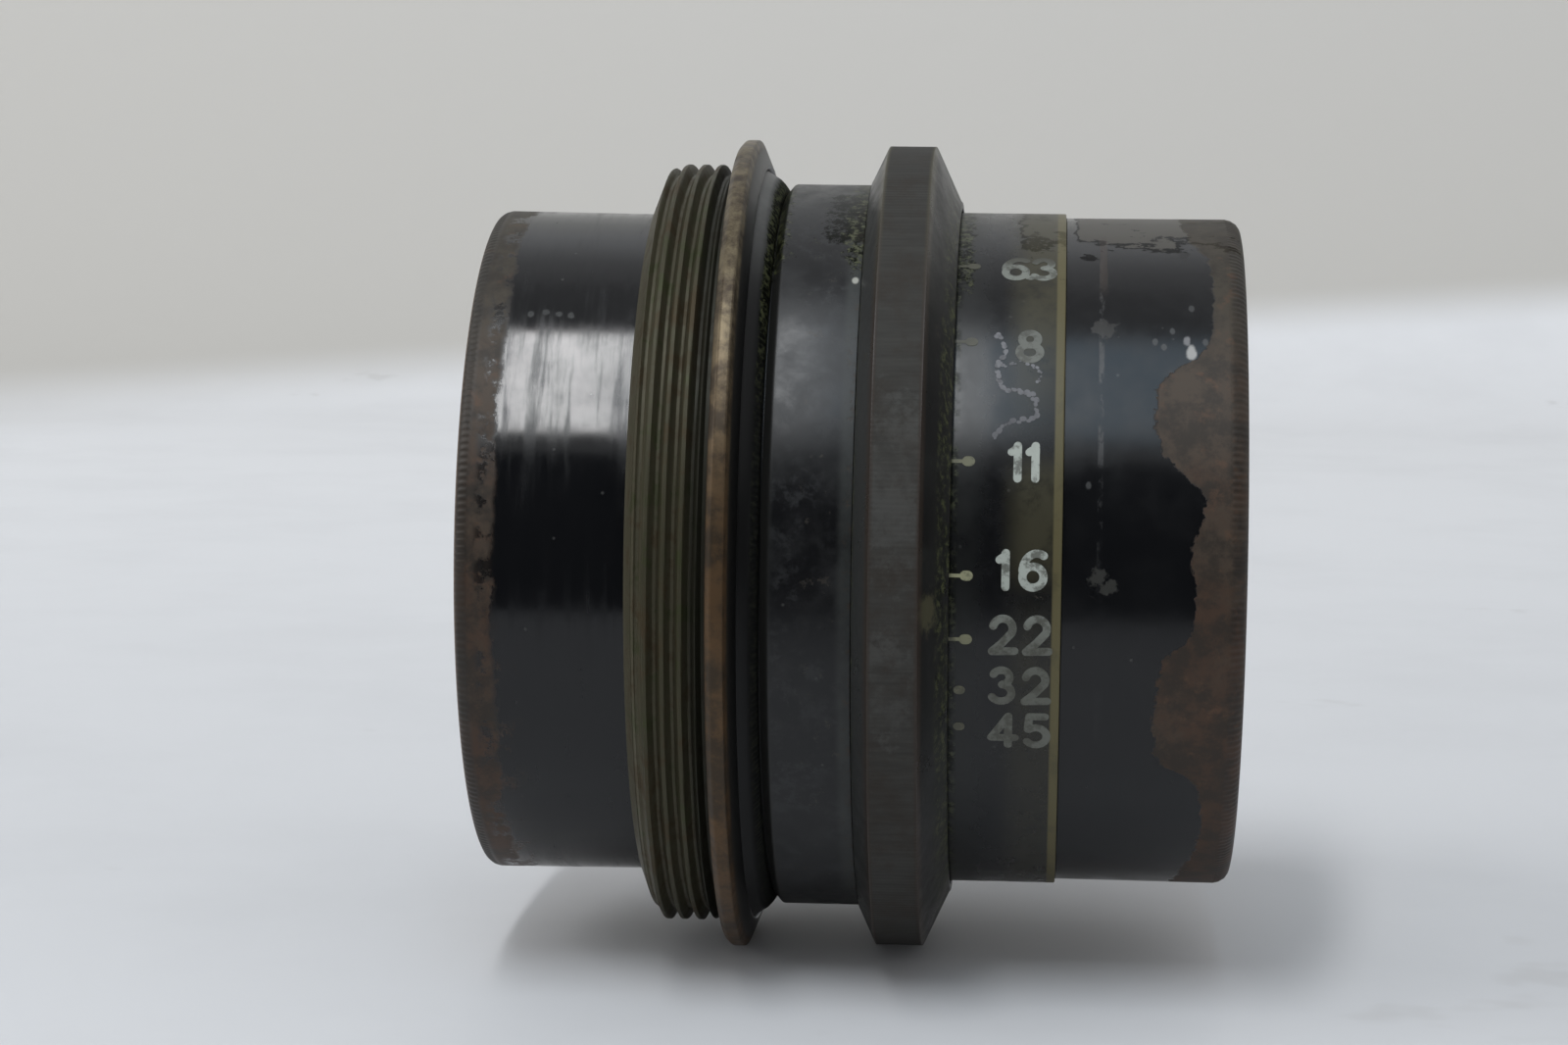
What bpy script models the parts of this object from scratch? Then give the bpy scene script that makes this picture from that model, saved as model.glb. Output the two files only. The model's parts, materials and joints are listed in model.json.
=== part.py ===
"""An enlarger lens in a turned brass barrel, with a working leaf iris.

The optical axis lies along +X with the front glass at +X, and the lens lies on the rim of its
mount flange.  The origin is the middle of the length, on the surface that the lens lies on.
Sizes are in millimetres.  Stations run along the optical axis from the rear end face, and angles
turn about +X from +Y towards +Z.
"""
import math

import bmesh
import bpy
from mathutils import Matrix, Vector

MM = 0.001
ROUND_SIDES = 40
GLASS_SIDES = 32
PIN_SIDES = 10
SMOOTH_ANGLE = 35.0

# Overall
LENGTH = 43.6
FLANGE_RADIUS = 23.98
SCREWED_GAP = 0.25          # between the faces of pieces that are screwed or clamped together

# Rear cell
REAR_CELL_RADIUS = 19.6
REAR_CELL_SHOULDER = 8.9
REAR_SPIGOT_RADIUS = 18.6
REAR_SPIGOT_END = 13.2
REAR_BORE_RADIUS = 15.5
REAR_LIP_START = 10.75
REAR_LIP_RADIUS = 14.2

# Mount thread and flange
MOUNT_START = REAR_CELL_SHOULDER + SCREWED_GAP
THREAD_RADIUS = 22.5
THREAD_DEPTH = 0.55
THREAD_PITCH = 1.0
THREAD_CRESTS = 4
FIRST_CREST = 10.16
FLANGE_SEAT = 14.3
SEAT_INNER_RADIUS = 22.6
SEAT_UNDERCUT = 0.15        # the thread runs out into a groove behind the seat
FLANGE_RIM_END = 15.3
CONE_END = 17.0
CONE_END_RADIUS = 20.94

# Main barrel
CORE_START = 10.2
CORE_RADIUS = 20.5
CORE_CLEARANCE = 0.2
BARREL_SHOULDER = CONE_END + SCREWED_GAP
BARREL_RADIUS = 21.4
RING_SEAT_START = 21.9
RING_SEAT_RADIUS = 20.8
BARREL_END = 26.3
REAR_THREAD_BORE = 18.85
INNER_BORE = 18.3
IRIS_LEDGE = 19.95
IRIS_BORE = 19.7

# Aperture ring
RING_START = 22.1
RING_LAND_START = 23.07
RING_LAND_END = 25.79
RING_END = 27.37
RING_RADIUS = 23.7
RING_BORE = RING_SEAT_RADIUS + 0.2
RING_LIP_START = BARREL_END + SCREWED_GAP
RING_LIP_BORE = 20.1

# Scale barrel
SCALE_RADIUS = 19.83
SCALE_BODY_START = 26.6
SCALE_END = 33.5
SCALE_SPIGOT_START = 25.5
SCALE_SPIGOT_RADIUS = 19.45
SCALE_STOP = 28.0
SCALE_REAR_BORE = 17.2
SCALE_FRONT_BORE = 18.5

# Front cell
FRONT_CELL_START = SCALE_END + SCREWED_GAP
FRONT_CELL_RADIUS = 19.62
FRONT_SPIGOT_START = SCALE_STOP + SCREWED_GAP
FRONT_SPIGOT_RADIUS = 18.25
SECOND_BORE_RADIUS = 15.3
LENS_LIP_START = 34.6
LENS_LIP_END = 36.2
LENS_LIP_RADIUS = 14.0
FRONT_BORE_RADIUS = 16.3
FRONT_CONE_START = 41.4
FRONT_CONE_RADIUS = 17.9

# Glass: stations of the rim's edges and radii of curvature, positive with the centre towards +X
FRONT_GLASS = {"rim": 16.0, "rear": 36.5, "front": 38.8, "rear_curve": 300.0, "front_curve": -50.0}
SECOND_GLASS = {"rim": 15.0, "rear": 29.9, "front": 34.3, "rear_curve": -45.0, "front_curve": 90.0}
CROWN_GLASS = {"rim": 15.2, "rear": 5.0, "front": 6.2, "rear_curve": 45.0, "front_curve": -50.0}
FLINT_GLASS = {"rim": 15.2, "rear": 6.3, "front": 10.4, "rear_curve": -50.0, "front_curve": 150.0}
GLASS_STEPS = 4

# Iris.  A leaf is a crescent that pivots at one end and is driven by a pin at the other.
LEAF_COUNT = 12
OPEN_RADIUS = 13.5
LEAF_OUTER_RADIUS = 18.4
PIVOT_RADIUS = 17.0
LEAF_SPAN = 140.0
LEAF_TAB_RADIUS = 1.4
LEAF_BLEND = 10.0           # degrees over which a leaf narrows to its tab
LEAF_STEP = 7.5
LEAF_THICKNESS = 0.05
LEAF_END_RISE = 0.006       # mm along the axis for each degree of leaf, near its ends
LEAF_MIDDLE_RISE = 0.023    # the same in its middle, so that each leaf climbs over its neighbour
LEAF_BEND = 28.0            # degrees from each end where the rise changes
LEAF_STATION = 21.0
LEAF_TURN_PER_RING_TURN = 0.48
RING_TURN_AT_REST = 62.0    # from wide open to the stop that is set
PIN_RADIUS = 0.4
PIN_HOLE_RADIUS = 0.6
PIN_LENGTH = 0.7

BASE_PLATE_START = 20.2
BASE_PLATE_END = 20.8
CAM_START = 23.6
CAM_END = 24.6
CAM_RADIUS = IRIS_BORE - 0.25
CAM_BORE = 13.7
CAM_SLOT_ANGLE = 138.4      # from a leaf's pivot to its slot, with the iris wide open
CAM_SLOT_WIDTH = 2.1
CAM_SLOT_INNER = 14.2
CAM_SLOT_OUTER = 17.9
IRIS_RETAINER_START = 24.85
IRIS_RETAINER_END = 25.25

# Drive screw: through the aperture ring and a slot in the barrel, into the cam ring
SCREW_STATION = (CAM_START + CAM_END) / 2
SCREW_ANGLE = 10.0
SCREW_SHANK_RADIUS = 0.45
SCREW_HEAD_RADIUS = 0.75
SCREW_TIP = 18.5
SCREW_HEAD_START = 22.9
SCREW_TOP = 23.55
SCREW_CLEARANCE = 0.2
SCREW_THREAD_CLEARANCE = 0.1
RING_TO_WIDE_OPEN = -RING_TURN_AT_REST
RING_TO_CLOSED = 21.1
SLOT_END_MARGIN = 2.2       # degrees of barrel slot past the screw's last place

OPTICAL_AXIS = Vector((-LENGTH / 2, 0, FLANGE_RADIUS)) * MM


def material(name, colour, roughness, metallic, transmission=0.0):
    made = bpy.data.materials.new(name)
    made.use_nodes = True
    shader = made.node_tree.nodes["Principled BSDF"]
    shader.inputs["Base Color"].default_value = (*colour, 1.0)
    shader.inputs["Roughness"].default_value = roughness
    shader.inputs["Metallic"].default_value = metallic
    shader.inputs["Transmission Weight"].default_value = transmission
    made.diffuse_color = (*colour, 1.0)
    return made


def black_lacquer(name):
    return material(name, (0.012, 0.012, 0.014), 0.18, 0.0)


def matt_black(name):
    return material(name, (0.015, 0.015, 0.015), 0.6, 0.0)


def glass(name):
    return material(name, (0.9, 0.95, 0.97), 0.0, 0.0, transmission=1.0)


def new_piece(name, mesh, finish, parent, smooth=True):
    """Turn a bmesh into a named object under its parent."""
    bmesh.ops.recalc_face_normals(mesh, faces=mesh.faces)
    data = bpy.data.meshes.new(name)
    mesh.to_mesh(data)
    mesh.free()
    data.materials.append(finish)
    if smooth:
        data.shade_smooth()
        data.set_sharp_from_angle(angle=math.radians(SMOOTH_ANGLE))
    piece = bpy.data.objects.new(name, data)
    bpy.context.collection.objects.link(piece)
    piece.parent = parent
    return piece


def turned_mesh(outline, sides):
    """Spin an outline of (station, radius) points about the optical axis.

    The outline is a closed loop, or starts and ends on the axis.
    """
    mesh = bmesh.new()
    corners = [mesh.verts.new((station * MM, 0, radius * MM)) for station, radius in outline]
    edges = [mesh.edges.new(pair) for pair in zip(corners, corners[1:])]
    if outline[0][1] > 0:
        edges.append(mesh.edges.new((corners[-1], corners[0])))
    bmesh.ops.spin(mesh, geom=corners + edges, axis=(1, 0, 0), angle=math.tau, steps=sides,
                   use_merge=True)
    bmesh.ops.remove_doubles(mesh, verts=mesh.verts, dist=0.0005 * MM)
    return mesh


def turned(name, outline, finish, parent, sides=ROUND_SIDES):
    return new_piece(name, turned_mesh(outline, sides), finish, parent)


def combine(piece, tool, operation):
    """Cut the piece with the tool, or join the tool to it, and take the tool away."""
    step = piece.modifiers.new(operation.lower(), "BOOLEAN")
    step.operation = operation
    step.solver = "EXACT"
    step.object = tool
    bpy.context.view_layer.update()
    result = bpy.data.meshes.new_from_object(piece.evaluated_get(bpy.context.evaluated_depsgraph_get()))
    piece.modifiers.remove(step)
    piece.data = result
    result.name = piece.name
    bpy.data.objects.remove(tool)


def sector(start, end, inner, outer, first_angle, last_angle, steps):
    """A tool: the part of a ring between two angles, given in degrees from +Y."""
    mesh = bmesh.new()
    turn = Matrix.Rotation(math.radians(first_angle), 3, "X")
    corners = [mesh.verts.new(turn @ Vector((station, radius, 0)) * MM)
               for station, radius in ((start, inner), (end, inner), (end, outer), (start, outer))]
    face = mesh.faces.new(corners)
    bmesh.ops.spin(mesh, geom=[face], axis=(1, 0, 0), angle=math.radians(last_angle - first_angle),
                   steps=steps)
    return mesh


def add_rod(mesh, foot, tip, radius, sides=PIN_SIDES):
    """Add a closed rod between two points."""
    foot = Vector(foot)
    along = Vector(tip) - foot
    place = Matrix.Translation((foot + along / 2) * MM) @ along.to_track_quat("Z", "Y").to_matrix().to_4x4()
    bmesh.ops.create_cone(mesh, cap_ends=True, segments=sides, radius1=radius * MM,
                          radius2=radius * MM, depth=along.length * MM, matrix=place)


def add_radial_box(mesh, station, radius, angle, size):
    """Add a box whose size is (along the axis, outwards, around)."""
    place = (Matrix.Rotation(math.radians(angle), 4, "X")
             @ Matrix.Translation(Vector((station, radius, 0)) * MM)
             @ Matrix.Diagonal((*[length * MM for length in size], 1.0)))
    bmesh.ops.create_cube(mesh, size=1.0, matrix=place)


def on_axis_ring(station, radius, angle):
    """The point at a station, a radius and an angle about the optical axis."""
    turn = math.radians(angle)
    return Vector((station, radius * math.cos(turn), radius * math.sin(turn)))


def leaf_pivot_angle(number):
    return -number * 360.0 / LEAF_COUNT


def sag(radius, curve):
    """How far a spherical surface stands from its vertex plane, along +X."""
    return curve - math.copysign(math.sqrt(curve * curve - radius * radius), curve)


def glass_outline(sizes):
    """From the rear vertex out to the rim, and back to the front vertex."""
    rim = sizes["rim"]
    radii = [rim * step / GLASS_STEPS for step in range(GLASS_STEPS + 1)]
    rear_vertex = sizes["rear"] - sag(rim, sizes["rear_curve"])
    front_vertex = sizes["front"] - sag(rim, sizes["front_curve"])
    rear = [(rear_vertex + sag(radius, sizes["rear_curve"]), radius) for radius in radii]
    front = [(front_vertex + sag(radius, sizes["front_curve"]), radius) for radius in radii]
    return rear + front[::-1]


def make_rear_cell(axis):
    outline = [
        (0.0, REAR_BORE_RADIUS + 0.4), (0.0, REAR_CELL_RADIUS - 0.4), (0.15, REAR_CELL_RADIUS - 0.15),
        (0.5, REAR_CELL_RADIUS), (REAR_CELL_SHOULDER, REAR_CELL_RADIUS),
        (REAR_CELL_SHOULDER, REAR_SPIGOT_RADIUS), (REAR_SPIGOT_END, REAR_SPIGOT_RADIUS),
        (REAR_SPIGOT_END, REAR_LIP_RADIUS + 0.8), (REAR_LIP_START, REAR_LIP_RADIUS),
        (REAR_LIP_START, REAR_BORE_RADIUS), (0.4, REAR_BORE_RADIUS)]
    turned("rear_cell", outline, black_lacquer("rear_cell_lacquer"), axis)


def make_mount_flange(axis):
    root = THREAD_RADIUS - THREAD_DEPTH
    thread = []
    for crest in range(THREAD_CRESTS):
        station = FIRST_CREST + crest * THREAD_PITCH
        height = THREAD_RADIUS - (0.3 if crest == 0 else 0.0)
        thread += [(station, height), (station + THREAD_PITCH / 2, root)]
    lip_bore = REAR_CELL_RADIUS + 0.2
    core_bore = CORE_RADIUS + CORE_CLEARANCE
    lip_end = CORE_START - SCREWED_GAP
    outline = [
        (MOUNT_START, lip_bore), (MOUNT_START, lip_bore + 0.6), (MOUNT_START + 0.55, root), *thread,
        (FLANGE_SEAT + SEAT_UNDERCUT, root), (FLANGE_SEAT + SEAT_UNDERCUT, SEAT_INNER_RADIUS),
        (FLANGE_SEAT, SEAT_INNER_RADIUS), (FLANGE_SEAT, FLANGE_RADIUS - 0.3),
        (FLANGE_SEAT + 0.3, FLANGE_RADIUS),
        (FLANGE_RIM_END, FLANGE_RADIUS), (FLANGE_RIM_END + 0.7, FLANGE_RADIUS - 1.7),
        (CONE_END - 0.3, CONE_END_RADIUS + 0.56), (CONE_END, CONE_END_RADIUS),
        (CONE_END, core_bore), (lip_end, core_bore), (lip_end, lip_bore)]
    turned("mount_flange", outline, material("mount_brass", (0.24, 0.18, 0.09), 0.35, 1.0), axis)


def make_main_barrel(axis):
    outline = [
        (CORE_START, REAR_THREAD_BORE), (CORE_START, CORE_RADIUS), (BARREL_SHOULDER, CORE_RADIUS),
        (BARREL_SHOULDER, CONE_END_RADIUS), (BARREL_SHOULDER + 0.4, BARREL_RADIUS),
        (RING_SEAT_START, BARREL_RADIUS), (RING_SEAT_START, RING_SEAT_RADIUS),
        (BARREL_END, RING_SEAT_RADIUS), (BARREL_END, IRIS_BORE), (IRIS_LEDGE, IRIS_BORE),
        (IRIS_LEDGE, INNER_BORE), (REAR_SPIGOT_END + 0.4, INNER_BORE),
        (REAR_SPIGOT_END + 0.4, REAR_THREAD_BORE)]
    barrel = turned("main_barrel", outline, black_lacquer("main_barrel_lacquer"), axis)
    slot_half = SCREW_SHANK_RADIUS + SCREW_CLEARANCE
    slot = sector(SCREW_STATION - slot_half, SCREW_STATION + slot_half,
                  IRIS_BORE - 1.0, RING_SEAT_RADIUS + 1.0,
                  SCREW_ANGLE + RING_TO_WIDE_OPEN - SLOT_END_MARGIN,
                  SCREW_ANGLE + RING_TO_CLOSED + SLOT_END_MARGIN, steps=12)
    combine(barrel, new_piece("slot_tool", slot, barrel.data.materials[0], axis), "DIFFERENCE")


def make_iris_ring(axis):
    outline = [
        (RING_START, RING_BORE), (RING_START, RING_BORE + 0.75), (RING_LAND_START, RING_RADIUS),
        (RING_LAND_END, RING_RADIUS), (RING_END, RING_LIP_BORE + 0.35), (RING_END, RING_LIP_BORE),
        (RING_LIP_START, RING_LIP_BORE), (RING_LIP_START, RING_BORE)]
    ring = turned("iris_ring", outline, material("ring_bronze", (0.045, 0.04, 0.038), 0.35, 0.6), axis)
    hole = bmesh.new()
    seat = SCREW_HEAD_START - SCREW_CLEARANCE
    add_rod(hole, on_axis_ring(SCREW_STATION, RING_BORE - 1.0, SCREW_ANGLE),
            on_axis_ring(SCREW_STATION, seat + 0.1, SCREW_ANGLE), SCREW_SHANK_RADIUS + SCREW_CLEARANCE)
    screw_hole = new_piece("screw_hole_tool", hole, ring.data.materials[0], axis)
    combine(ring, screw_hole, "DIFFERENCE")
    recess = bmesh.new()
    add_rod(recess, on_axis_ring(SCREW_STATION, seat, SCREW_ANGLE),
            on_axis_ring(SCREW_STATION, RING_RADIUS + 1.0, SCREW_ANGLE),
            SCREW_HEAD_RADIUS + SCREW_CLEARANCE)
    combine(ring, new_piece("head_recess_tool", recess, ring.data.materials[0], axis), "DIFFERENCE")


def make_drive_screw(axis):
    steel = material("screw_steel", (0.35, 0.34, 0.32), 0.3, 1.0)
    head = bmesh.new()
    add_rod(head, on_axis_ring(SCREW_STATION, SCREW_HEAD_START, SCREW_ANGLE),
            on_axis_ring(SCREW_STATION, SCREW_TOP, SCREW_ANGLE), SCREW_HEAD_RADIUS)
    screw = new_piece("drive_screw", head, steel, axis)
    shank = bmesh.new()
    add_rod(shank, on_axis_ring(SCREW_STATION, SCREW_TIP, SCREW_ANGLE),
            on_axis_ring(SCREW_STATION, SCREW_HEAD_START + 0.2, SCREW_ANGLE), SCREW_SHANK_RADIUS)
    combine(screw, new_piece("shank_tool", shank, steel, axis), "UNION")
    driver_slot = bmesh.new()
    add_radial_box(driver_slot, SCREW_STATION, SCREW_TOP, SCREW_ANGLE,
                   (4 * SCREW_HEAD_RADIUS, SCREW_TOP - SCREW_HEAD_START - 0.1, 0.3))
    combine(screw, new_piece("driver_slot_tool", driver_slot, steel, axis), "DIFFERENCE")


def make_scale_barrel(axis):
    outline = [
        (SCALE_SPIGOT_START, SCALE_REAR_BORE), (SCALE_SPIGOT_START, SCALE_SPIGOT_RADIUS),
        (SCALE_BODY_START, SCALE_SPIGOT_RADIUS), (SCALE_BODY_START, SCALE_RADIUS),
        (SCALE_END, SCALE_RADIUS), (SCALE_END, SCALE_FRONT_BORE), (SCALE_STOP, SCALE_FRONT_BORE),
        (SCALE_STOP, SCALE_REAR_BORE)]
    turned("scale_barrel", outline, black_lacquer("scale_barrel_lacquer"), axis)


def make_front_cell(axis):
    outline = [
        (FRONT_SPIGOT_START, SECOND_BORE_RADIUS), (FRONT_SPIGOT_START, FRONT_SPIGOT_RADIUS),
        (FRONT_CELL_START, FRONT_SPIGOT_RADIUS), (FRONT_CELL_START, FRONT_CELL_RADIUS),
        (LENGTH - 0.7, FRONT_CELL_RADIUS), (LENGTH - 0.2, FRONT_CELL_RADIUS - 0.25),
        (LENGTH, FRONT_CELL_RADIUS - 0.7), (LENGTH, FRONT_CONE_RADIUS),
        (FRONT_CONE_START, FRONT_BORE_RADIUS), (LENS_LIP_END, FRONT_BORE_RADIUS),
        (LENS_LIP_END, LENS_LIP_RADIUS), (LENS_LIP_START, LENS_LIP_RADIUS),
        (LENS_LIP_START, SECOND_BORE_RADIUS)]
    turned("front_cell", outline, black_lacquer("front_cell_lacquer"), axis)


def make_spanner_ring(name, start, end, inner, outer, notched_end, axis):
    """A threaded ring that holds a glass in its cell, with two notches for a spanner."""
    finish = matt_black(name + "_black")
    ring = turned(name, [(start, inner), (start, outer), (end, outer), (end, inner)], finish, axis)
    notches = bmesh.new()
    for angle in (90.0, 270.0):
        add_radial_box(notches, notched_end, (inner + outer) / 2, angle,
                       (0.9, 2 * (outer - inner), 1.6))
    combine(ring, new_piece("notch_tool", notches, finish, axis), "DIFFERENCE")


def make_glass(axis):
    for name, sizes in (("front_element", FRONT_GLASS), ("second_element", SECOND_GLASS),
                        ("rear_flint_element", FLINT_GLASS), ("rear_crown_element", CROWN_GLASS)):
        turned(name, glass_outline(sizes), glass(name + "_glass"), axis, GLASS_SIDES)
    make_spanner_ring("front_retaining_ring", 39.5, 41.0, 14.6, FRONT_BORE_RADIUS - 0.2, 41.0, axis)
    make_spanner_ring("second_retaining_ring", 28.6, 29.6, 14.0, SECOND_BORE_RADIUS - 0.2, 28.6, axis)
    make_spanner_ring("rear_retaining_ring", 3.0, 4.3, 14.0, REAR_BORE_RADIUS - 0.2, 3.0, axis)


def make_base_plate(axis):
    outline = [(BASE_PLATE_START, OPEN_RADIUS + 0.3), (BASE_PLATE_START, CAM_RADIUS),
               (BASE_PLATE_END, CAM_RADIUS), (BASE_PLATE_END, OPEN_RADIUS + 0.3)]
    plate = turned("iris_base_plate", outline, matt_black("base_plate_black"), axis)
    holes = bmesh.new()
    for number in range(LEAF_COUNT):
        angle = leaf_pivot_angle(number)
        add_rod(holes, on_axis_ring(BASE_PLATE_START - 0.5, PIVOT_RADIUS, angle),
                on_axis_ring(BASE_PLATE_END + 0.5, PIVOT_RADIUS, angle), PIN_HOLE_RADIUS)
    combine(plate, new_piece("pivot_hole_tool", holes, plate.data.materials[0], axis), "DIFFERENCE")


def make_cam_ring(axis):
    outline = [(CAM_START, CAM_BORE), (CAM_START, CAM_RADIUS), (CAM_END, CAM_RADIUS), (CAM_END, CAM_BORE)]
    ring = turned("cam_ring", outline, material("cam_brass", (0.45, 0.33, 0.14), 0.35, 1.0), axis)
    slots = bmesh.new()
    for number in range(LEAF_COUNT):
        angle = leaf_pivot_angle(number) + CAM_SLOT_ANGLE + RING_TURN_AT_REST
        add_radial_box(slots, SCREW_STATION, (CAM_SLOT_INNER + CAM_SLOT_OUTER) / 2, angle,
                       (3 * (CAM_END - CAM_START), CAM_SLOT_OUTER - CAM_SLOT_INNER, CAM_SLOT_WIDTH))
    combine(ring, new_piece("slots_tool", slots, ring.data.materials[0], axis), "DIFFERENCE")
    hole = bmesh.new()
    add_rod(hole, on_axis_ring(SCREW_STATION, SCREW_TIP - 0.2, SCREW_ANGLE),
            on_axis_ring(SCREW_STATION, CAM_RADIUS + 1.0, SCREW_ANGLE), SCREW_SHANK_RADIUS + SCREW_THREAD_CLEARANCE)
    combine(ring, new_piece("screw_hole_tool", hole, ring.data.materials[0], axis), "DIFFERENCE")
    return ring


def leaf_height(angle):
    """How far a leaf's underside has climbed along +X at this angle along the leaf."""
    middle = min(max(angle, LEAF_BEND), LEAF_SPAN - LEAF_BEND) - LEAF_BEND
    return LEAF_END_RISE * angle + (LEAF_MIDDLE_RISE - LEAF_END_RISE) * middle


def leaf_edges(angle):
    """The inner and outer radius of the leaf at this angle along it."""
    past_end = max(-angle, angle - LEAF_SPAN, 0.0)
    if past_end > 0:
        across = PIVOT_RADIUS * math.sin(math.radians(past_end))
        half = math.sqrt(max(LEAF_TAB_RADIUS ** 2 - across ** 2, 0.0))
        return PIVOT_RADIUS - half, PIVOT_RADIUS + half
    blend = min(min(angle, LEAF_SPAN - angle) / LEAF_BLEND, 1.0)
    tab_inner = PIVOT_RADIUS - LEAF_TAB_RADIUS
    return tab_inner + (OPEN_RADIUS - tab_inner) * blend, LEAF_OUTER_RADIUS


def leaf_mesh():
    """A thin crescent strip about the pivot end, which is the mesh's origin."""
    tab_angle = math.degrees(math.asin(LEAF_TAB_RADIUS / PIVOT_RADIUS))
    past_end = [tab_angle * part for part in (0.95, 0.7)]
    steps = round((LEAF_SPAN - 2 * LEAF_BLEND) / LEAF_STEP)
    middle = [LEAF_BLEND + (LEAF_SPAN - 2 * LEAF_BLEND) * step / steps for step in range(steps + 1)]
    angles = ([-angle for angle in past_end] + [0.0, LEAF_BLEND / 2] + middle
              + [LEAF_SPAN - LEAF_BLEND / 2, LEAF_SPAN] + [LEAF_SPAN + angle for angle in past_end[::-1]])
    mesh = bmesh.new()
    sections = []
    for angle in angles:
        turn = math.radians(angle)
        inner, outer = leaf_edges(angle)
        low = leaf_height(angle)
        section = [mesh.verts.new(Vector((height, radius * math.cos(turn) - PIVOT_RADIUS,
                                          radius * math.sin(turn))) * MM)
                   for height, radius in ((low, inner), (low, outer),
                                          (low + LEAF_THICKNESS, outer), (low + LEAF_THICKNESS, inner))]
        sections.append(section)
    for near, far in zip(sections, sections[1:]):
        for corner in range(4):
            after = (corner + 1) % 4
            mesh.faces.new((near[corner], near[after], far[after], far[corner]))
    mesh.faces.new(sections[0])
    mesh.faces.new(sections[-1])
    return mesh


def make_leaves(axis):
    steel = material("leaf_steel", (0.035, 0.037, 0.042), 0.3, 1.0)
    mesh = leaf_mesh()
    leaf = new_piece("leaf_01", mesh, steel, axis, smooth=False)
    pins = bmesh.new()
    half = LEAF_THICKNESS / 2
    add_rod(pins, (-PIN_LENGTH, 0, 0), (half, 0, 0), PIN_RADIUS)
    turn = math.radians(LEAF_SPAN)
    drive_pin = Vector((leaf_height(LEAF_SPAN) + half, PIVOT_RADIUS * math.cos(turn) - PIVOT_RADIUS,
                        PIVOT_RADIUS * math.sin(turn)))
    drive_top = CAM_END - LEAF_STATION - SCREW_CLEARANCE
    add_rod(pins, drive_pin, (drive_top, drive_pin.y, drive_pin.z), PIN_RADIUS)
    combine(leaf, new_piece("pin_tool", pins, steel, axis, smooth=False), "UNION")
    for number in range(LEAF_COUNT):
        piece = leaf
        if number > 0:
            piece = bpy.data.objects.new(f"leaf_{number + 1:02d}", leaf.data)
            bpy.context.collection.objects.link(piece)
            piece.parent = axis
        angle = leaf_pivot_angle(number)
        piece.location = on_axis_ring(LEAF_STATION, PIVOT_RADIUS, angle) * MM
        turn_at_rest = angle + RING_TURN_AT_REST * LEAF_TURN_PER_RING_TURN
        piece.rotation_euler = (math.radians(turn_at_rest), 0, 0)


def make_iris_retainer(axis):
    outline = [(IRIS_RETAINER_START, CAM_BORE + 0.3), (IRIS_RETAINER_START, CAM_RADIUS),
               (IRIS_RETAINER_END, CAM_RADIUS), (IRIS_RETAINER_END, CAM_BORE + 0.3)]
    turned("iris_retaining_ring", outline, matt_black("iris_retainer_black"), axis)


def main():
    for thing in list(bpy.data.objects):
        bpy.data.objects.remove(thing)
    axis = bpy.data.objects.new("optical_axis", None)
    bpy.context.collection.objects.link(axis)
    axis.location = OPTICAL_AXIS
    make_rear_cell(axis)
    make_mount_flange(axis)
    make_main_barrel(axis)
    make_iris_ring(axis)
    make_drive_screw(axis)
    make_scale_barrel(axis)
    make_front_cell(axis)
    make_glass(axis)
    make_base_plate(axis)
    make_leaves(axis)
    make_cam_ring(axis)
    make_iris_retainer(axis)


main()
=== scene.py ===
"""Looks of the enlarger lens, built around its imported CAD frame.

Lengths are in millimetres unless a name says otherwise.  Stations run along the optical axis from
the rear end face.  Angles turn about the optical axis from the side that faces the camera (-Y)
towards the top (+Z).
"""
import itertools
import json
import math

import bmesh
import bpy
import numpy as np
from mathutils import Matrix, Vector

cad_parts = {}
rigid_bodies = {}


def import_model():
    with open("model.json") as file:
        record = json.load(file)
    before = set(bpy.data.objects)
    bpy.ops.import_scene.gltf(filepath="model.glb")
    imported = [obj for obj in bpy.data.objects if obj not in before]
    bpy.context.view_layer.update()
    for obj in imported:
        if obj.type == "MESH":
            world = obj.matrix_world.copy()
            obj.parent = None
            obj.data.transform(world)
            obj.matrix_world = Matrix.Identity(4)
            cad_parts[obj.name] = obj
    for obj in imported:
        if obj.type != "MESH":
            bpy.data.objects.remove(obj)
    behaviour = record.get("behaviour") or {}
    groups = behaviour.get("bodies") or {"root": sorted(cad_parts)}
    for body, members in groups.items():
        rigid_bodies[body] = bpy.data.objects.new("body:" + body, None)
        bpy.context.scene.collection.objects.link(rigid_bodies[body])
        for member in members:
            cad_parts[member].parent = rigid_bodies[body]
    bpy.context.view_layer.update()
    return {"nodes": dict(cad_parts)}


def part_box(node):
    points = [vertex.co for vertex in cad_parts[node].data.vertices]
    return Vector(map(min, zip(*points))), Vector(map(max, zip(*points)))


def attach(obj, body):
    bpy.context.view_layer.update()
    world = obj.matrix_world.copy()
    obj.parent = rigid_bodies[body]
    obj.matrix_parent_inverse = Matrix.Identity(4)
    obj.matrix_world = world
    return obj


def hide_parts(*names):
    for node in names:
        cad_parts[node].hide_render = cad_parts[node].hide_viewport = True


MM = 0.001

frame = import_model()
for thing in list(bpy.data.objects):
    if thing.type in ("CAMERA", "LIGHT"):
        bpy.data.objects.remove(thing)

flange_low, flange_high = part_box("mount_flange")
REAR_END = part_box("rear_cell")[0].x
AXIS_HEIGHT = (flange_low.z + flange_high.z) / 2
AXIS = Vector((REAR_END, 0.0, AXIS_HEIGHT))


def span(node):
    """First and last station and outer radius of a CAD node, without its 32-bit mesh's last digits."""
    low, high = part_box(node)
    return [round(size / MM, 2) for size in (low.x - REAR_END, high.x - REAR_END, (high.z - low.z) / 2)]


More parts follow.
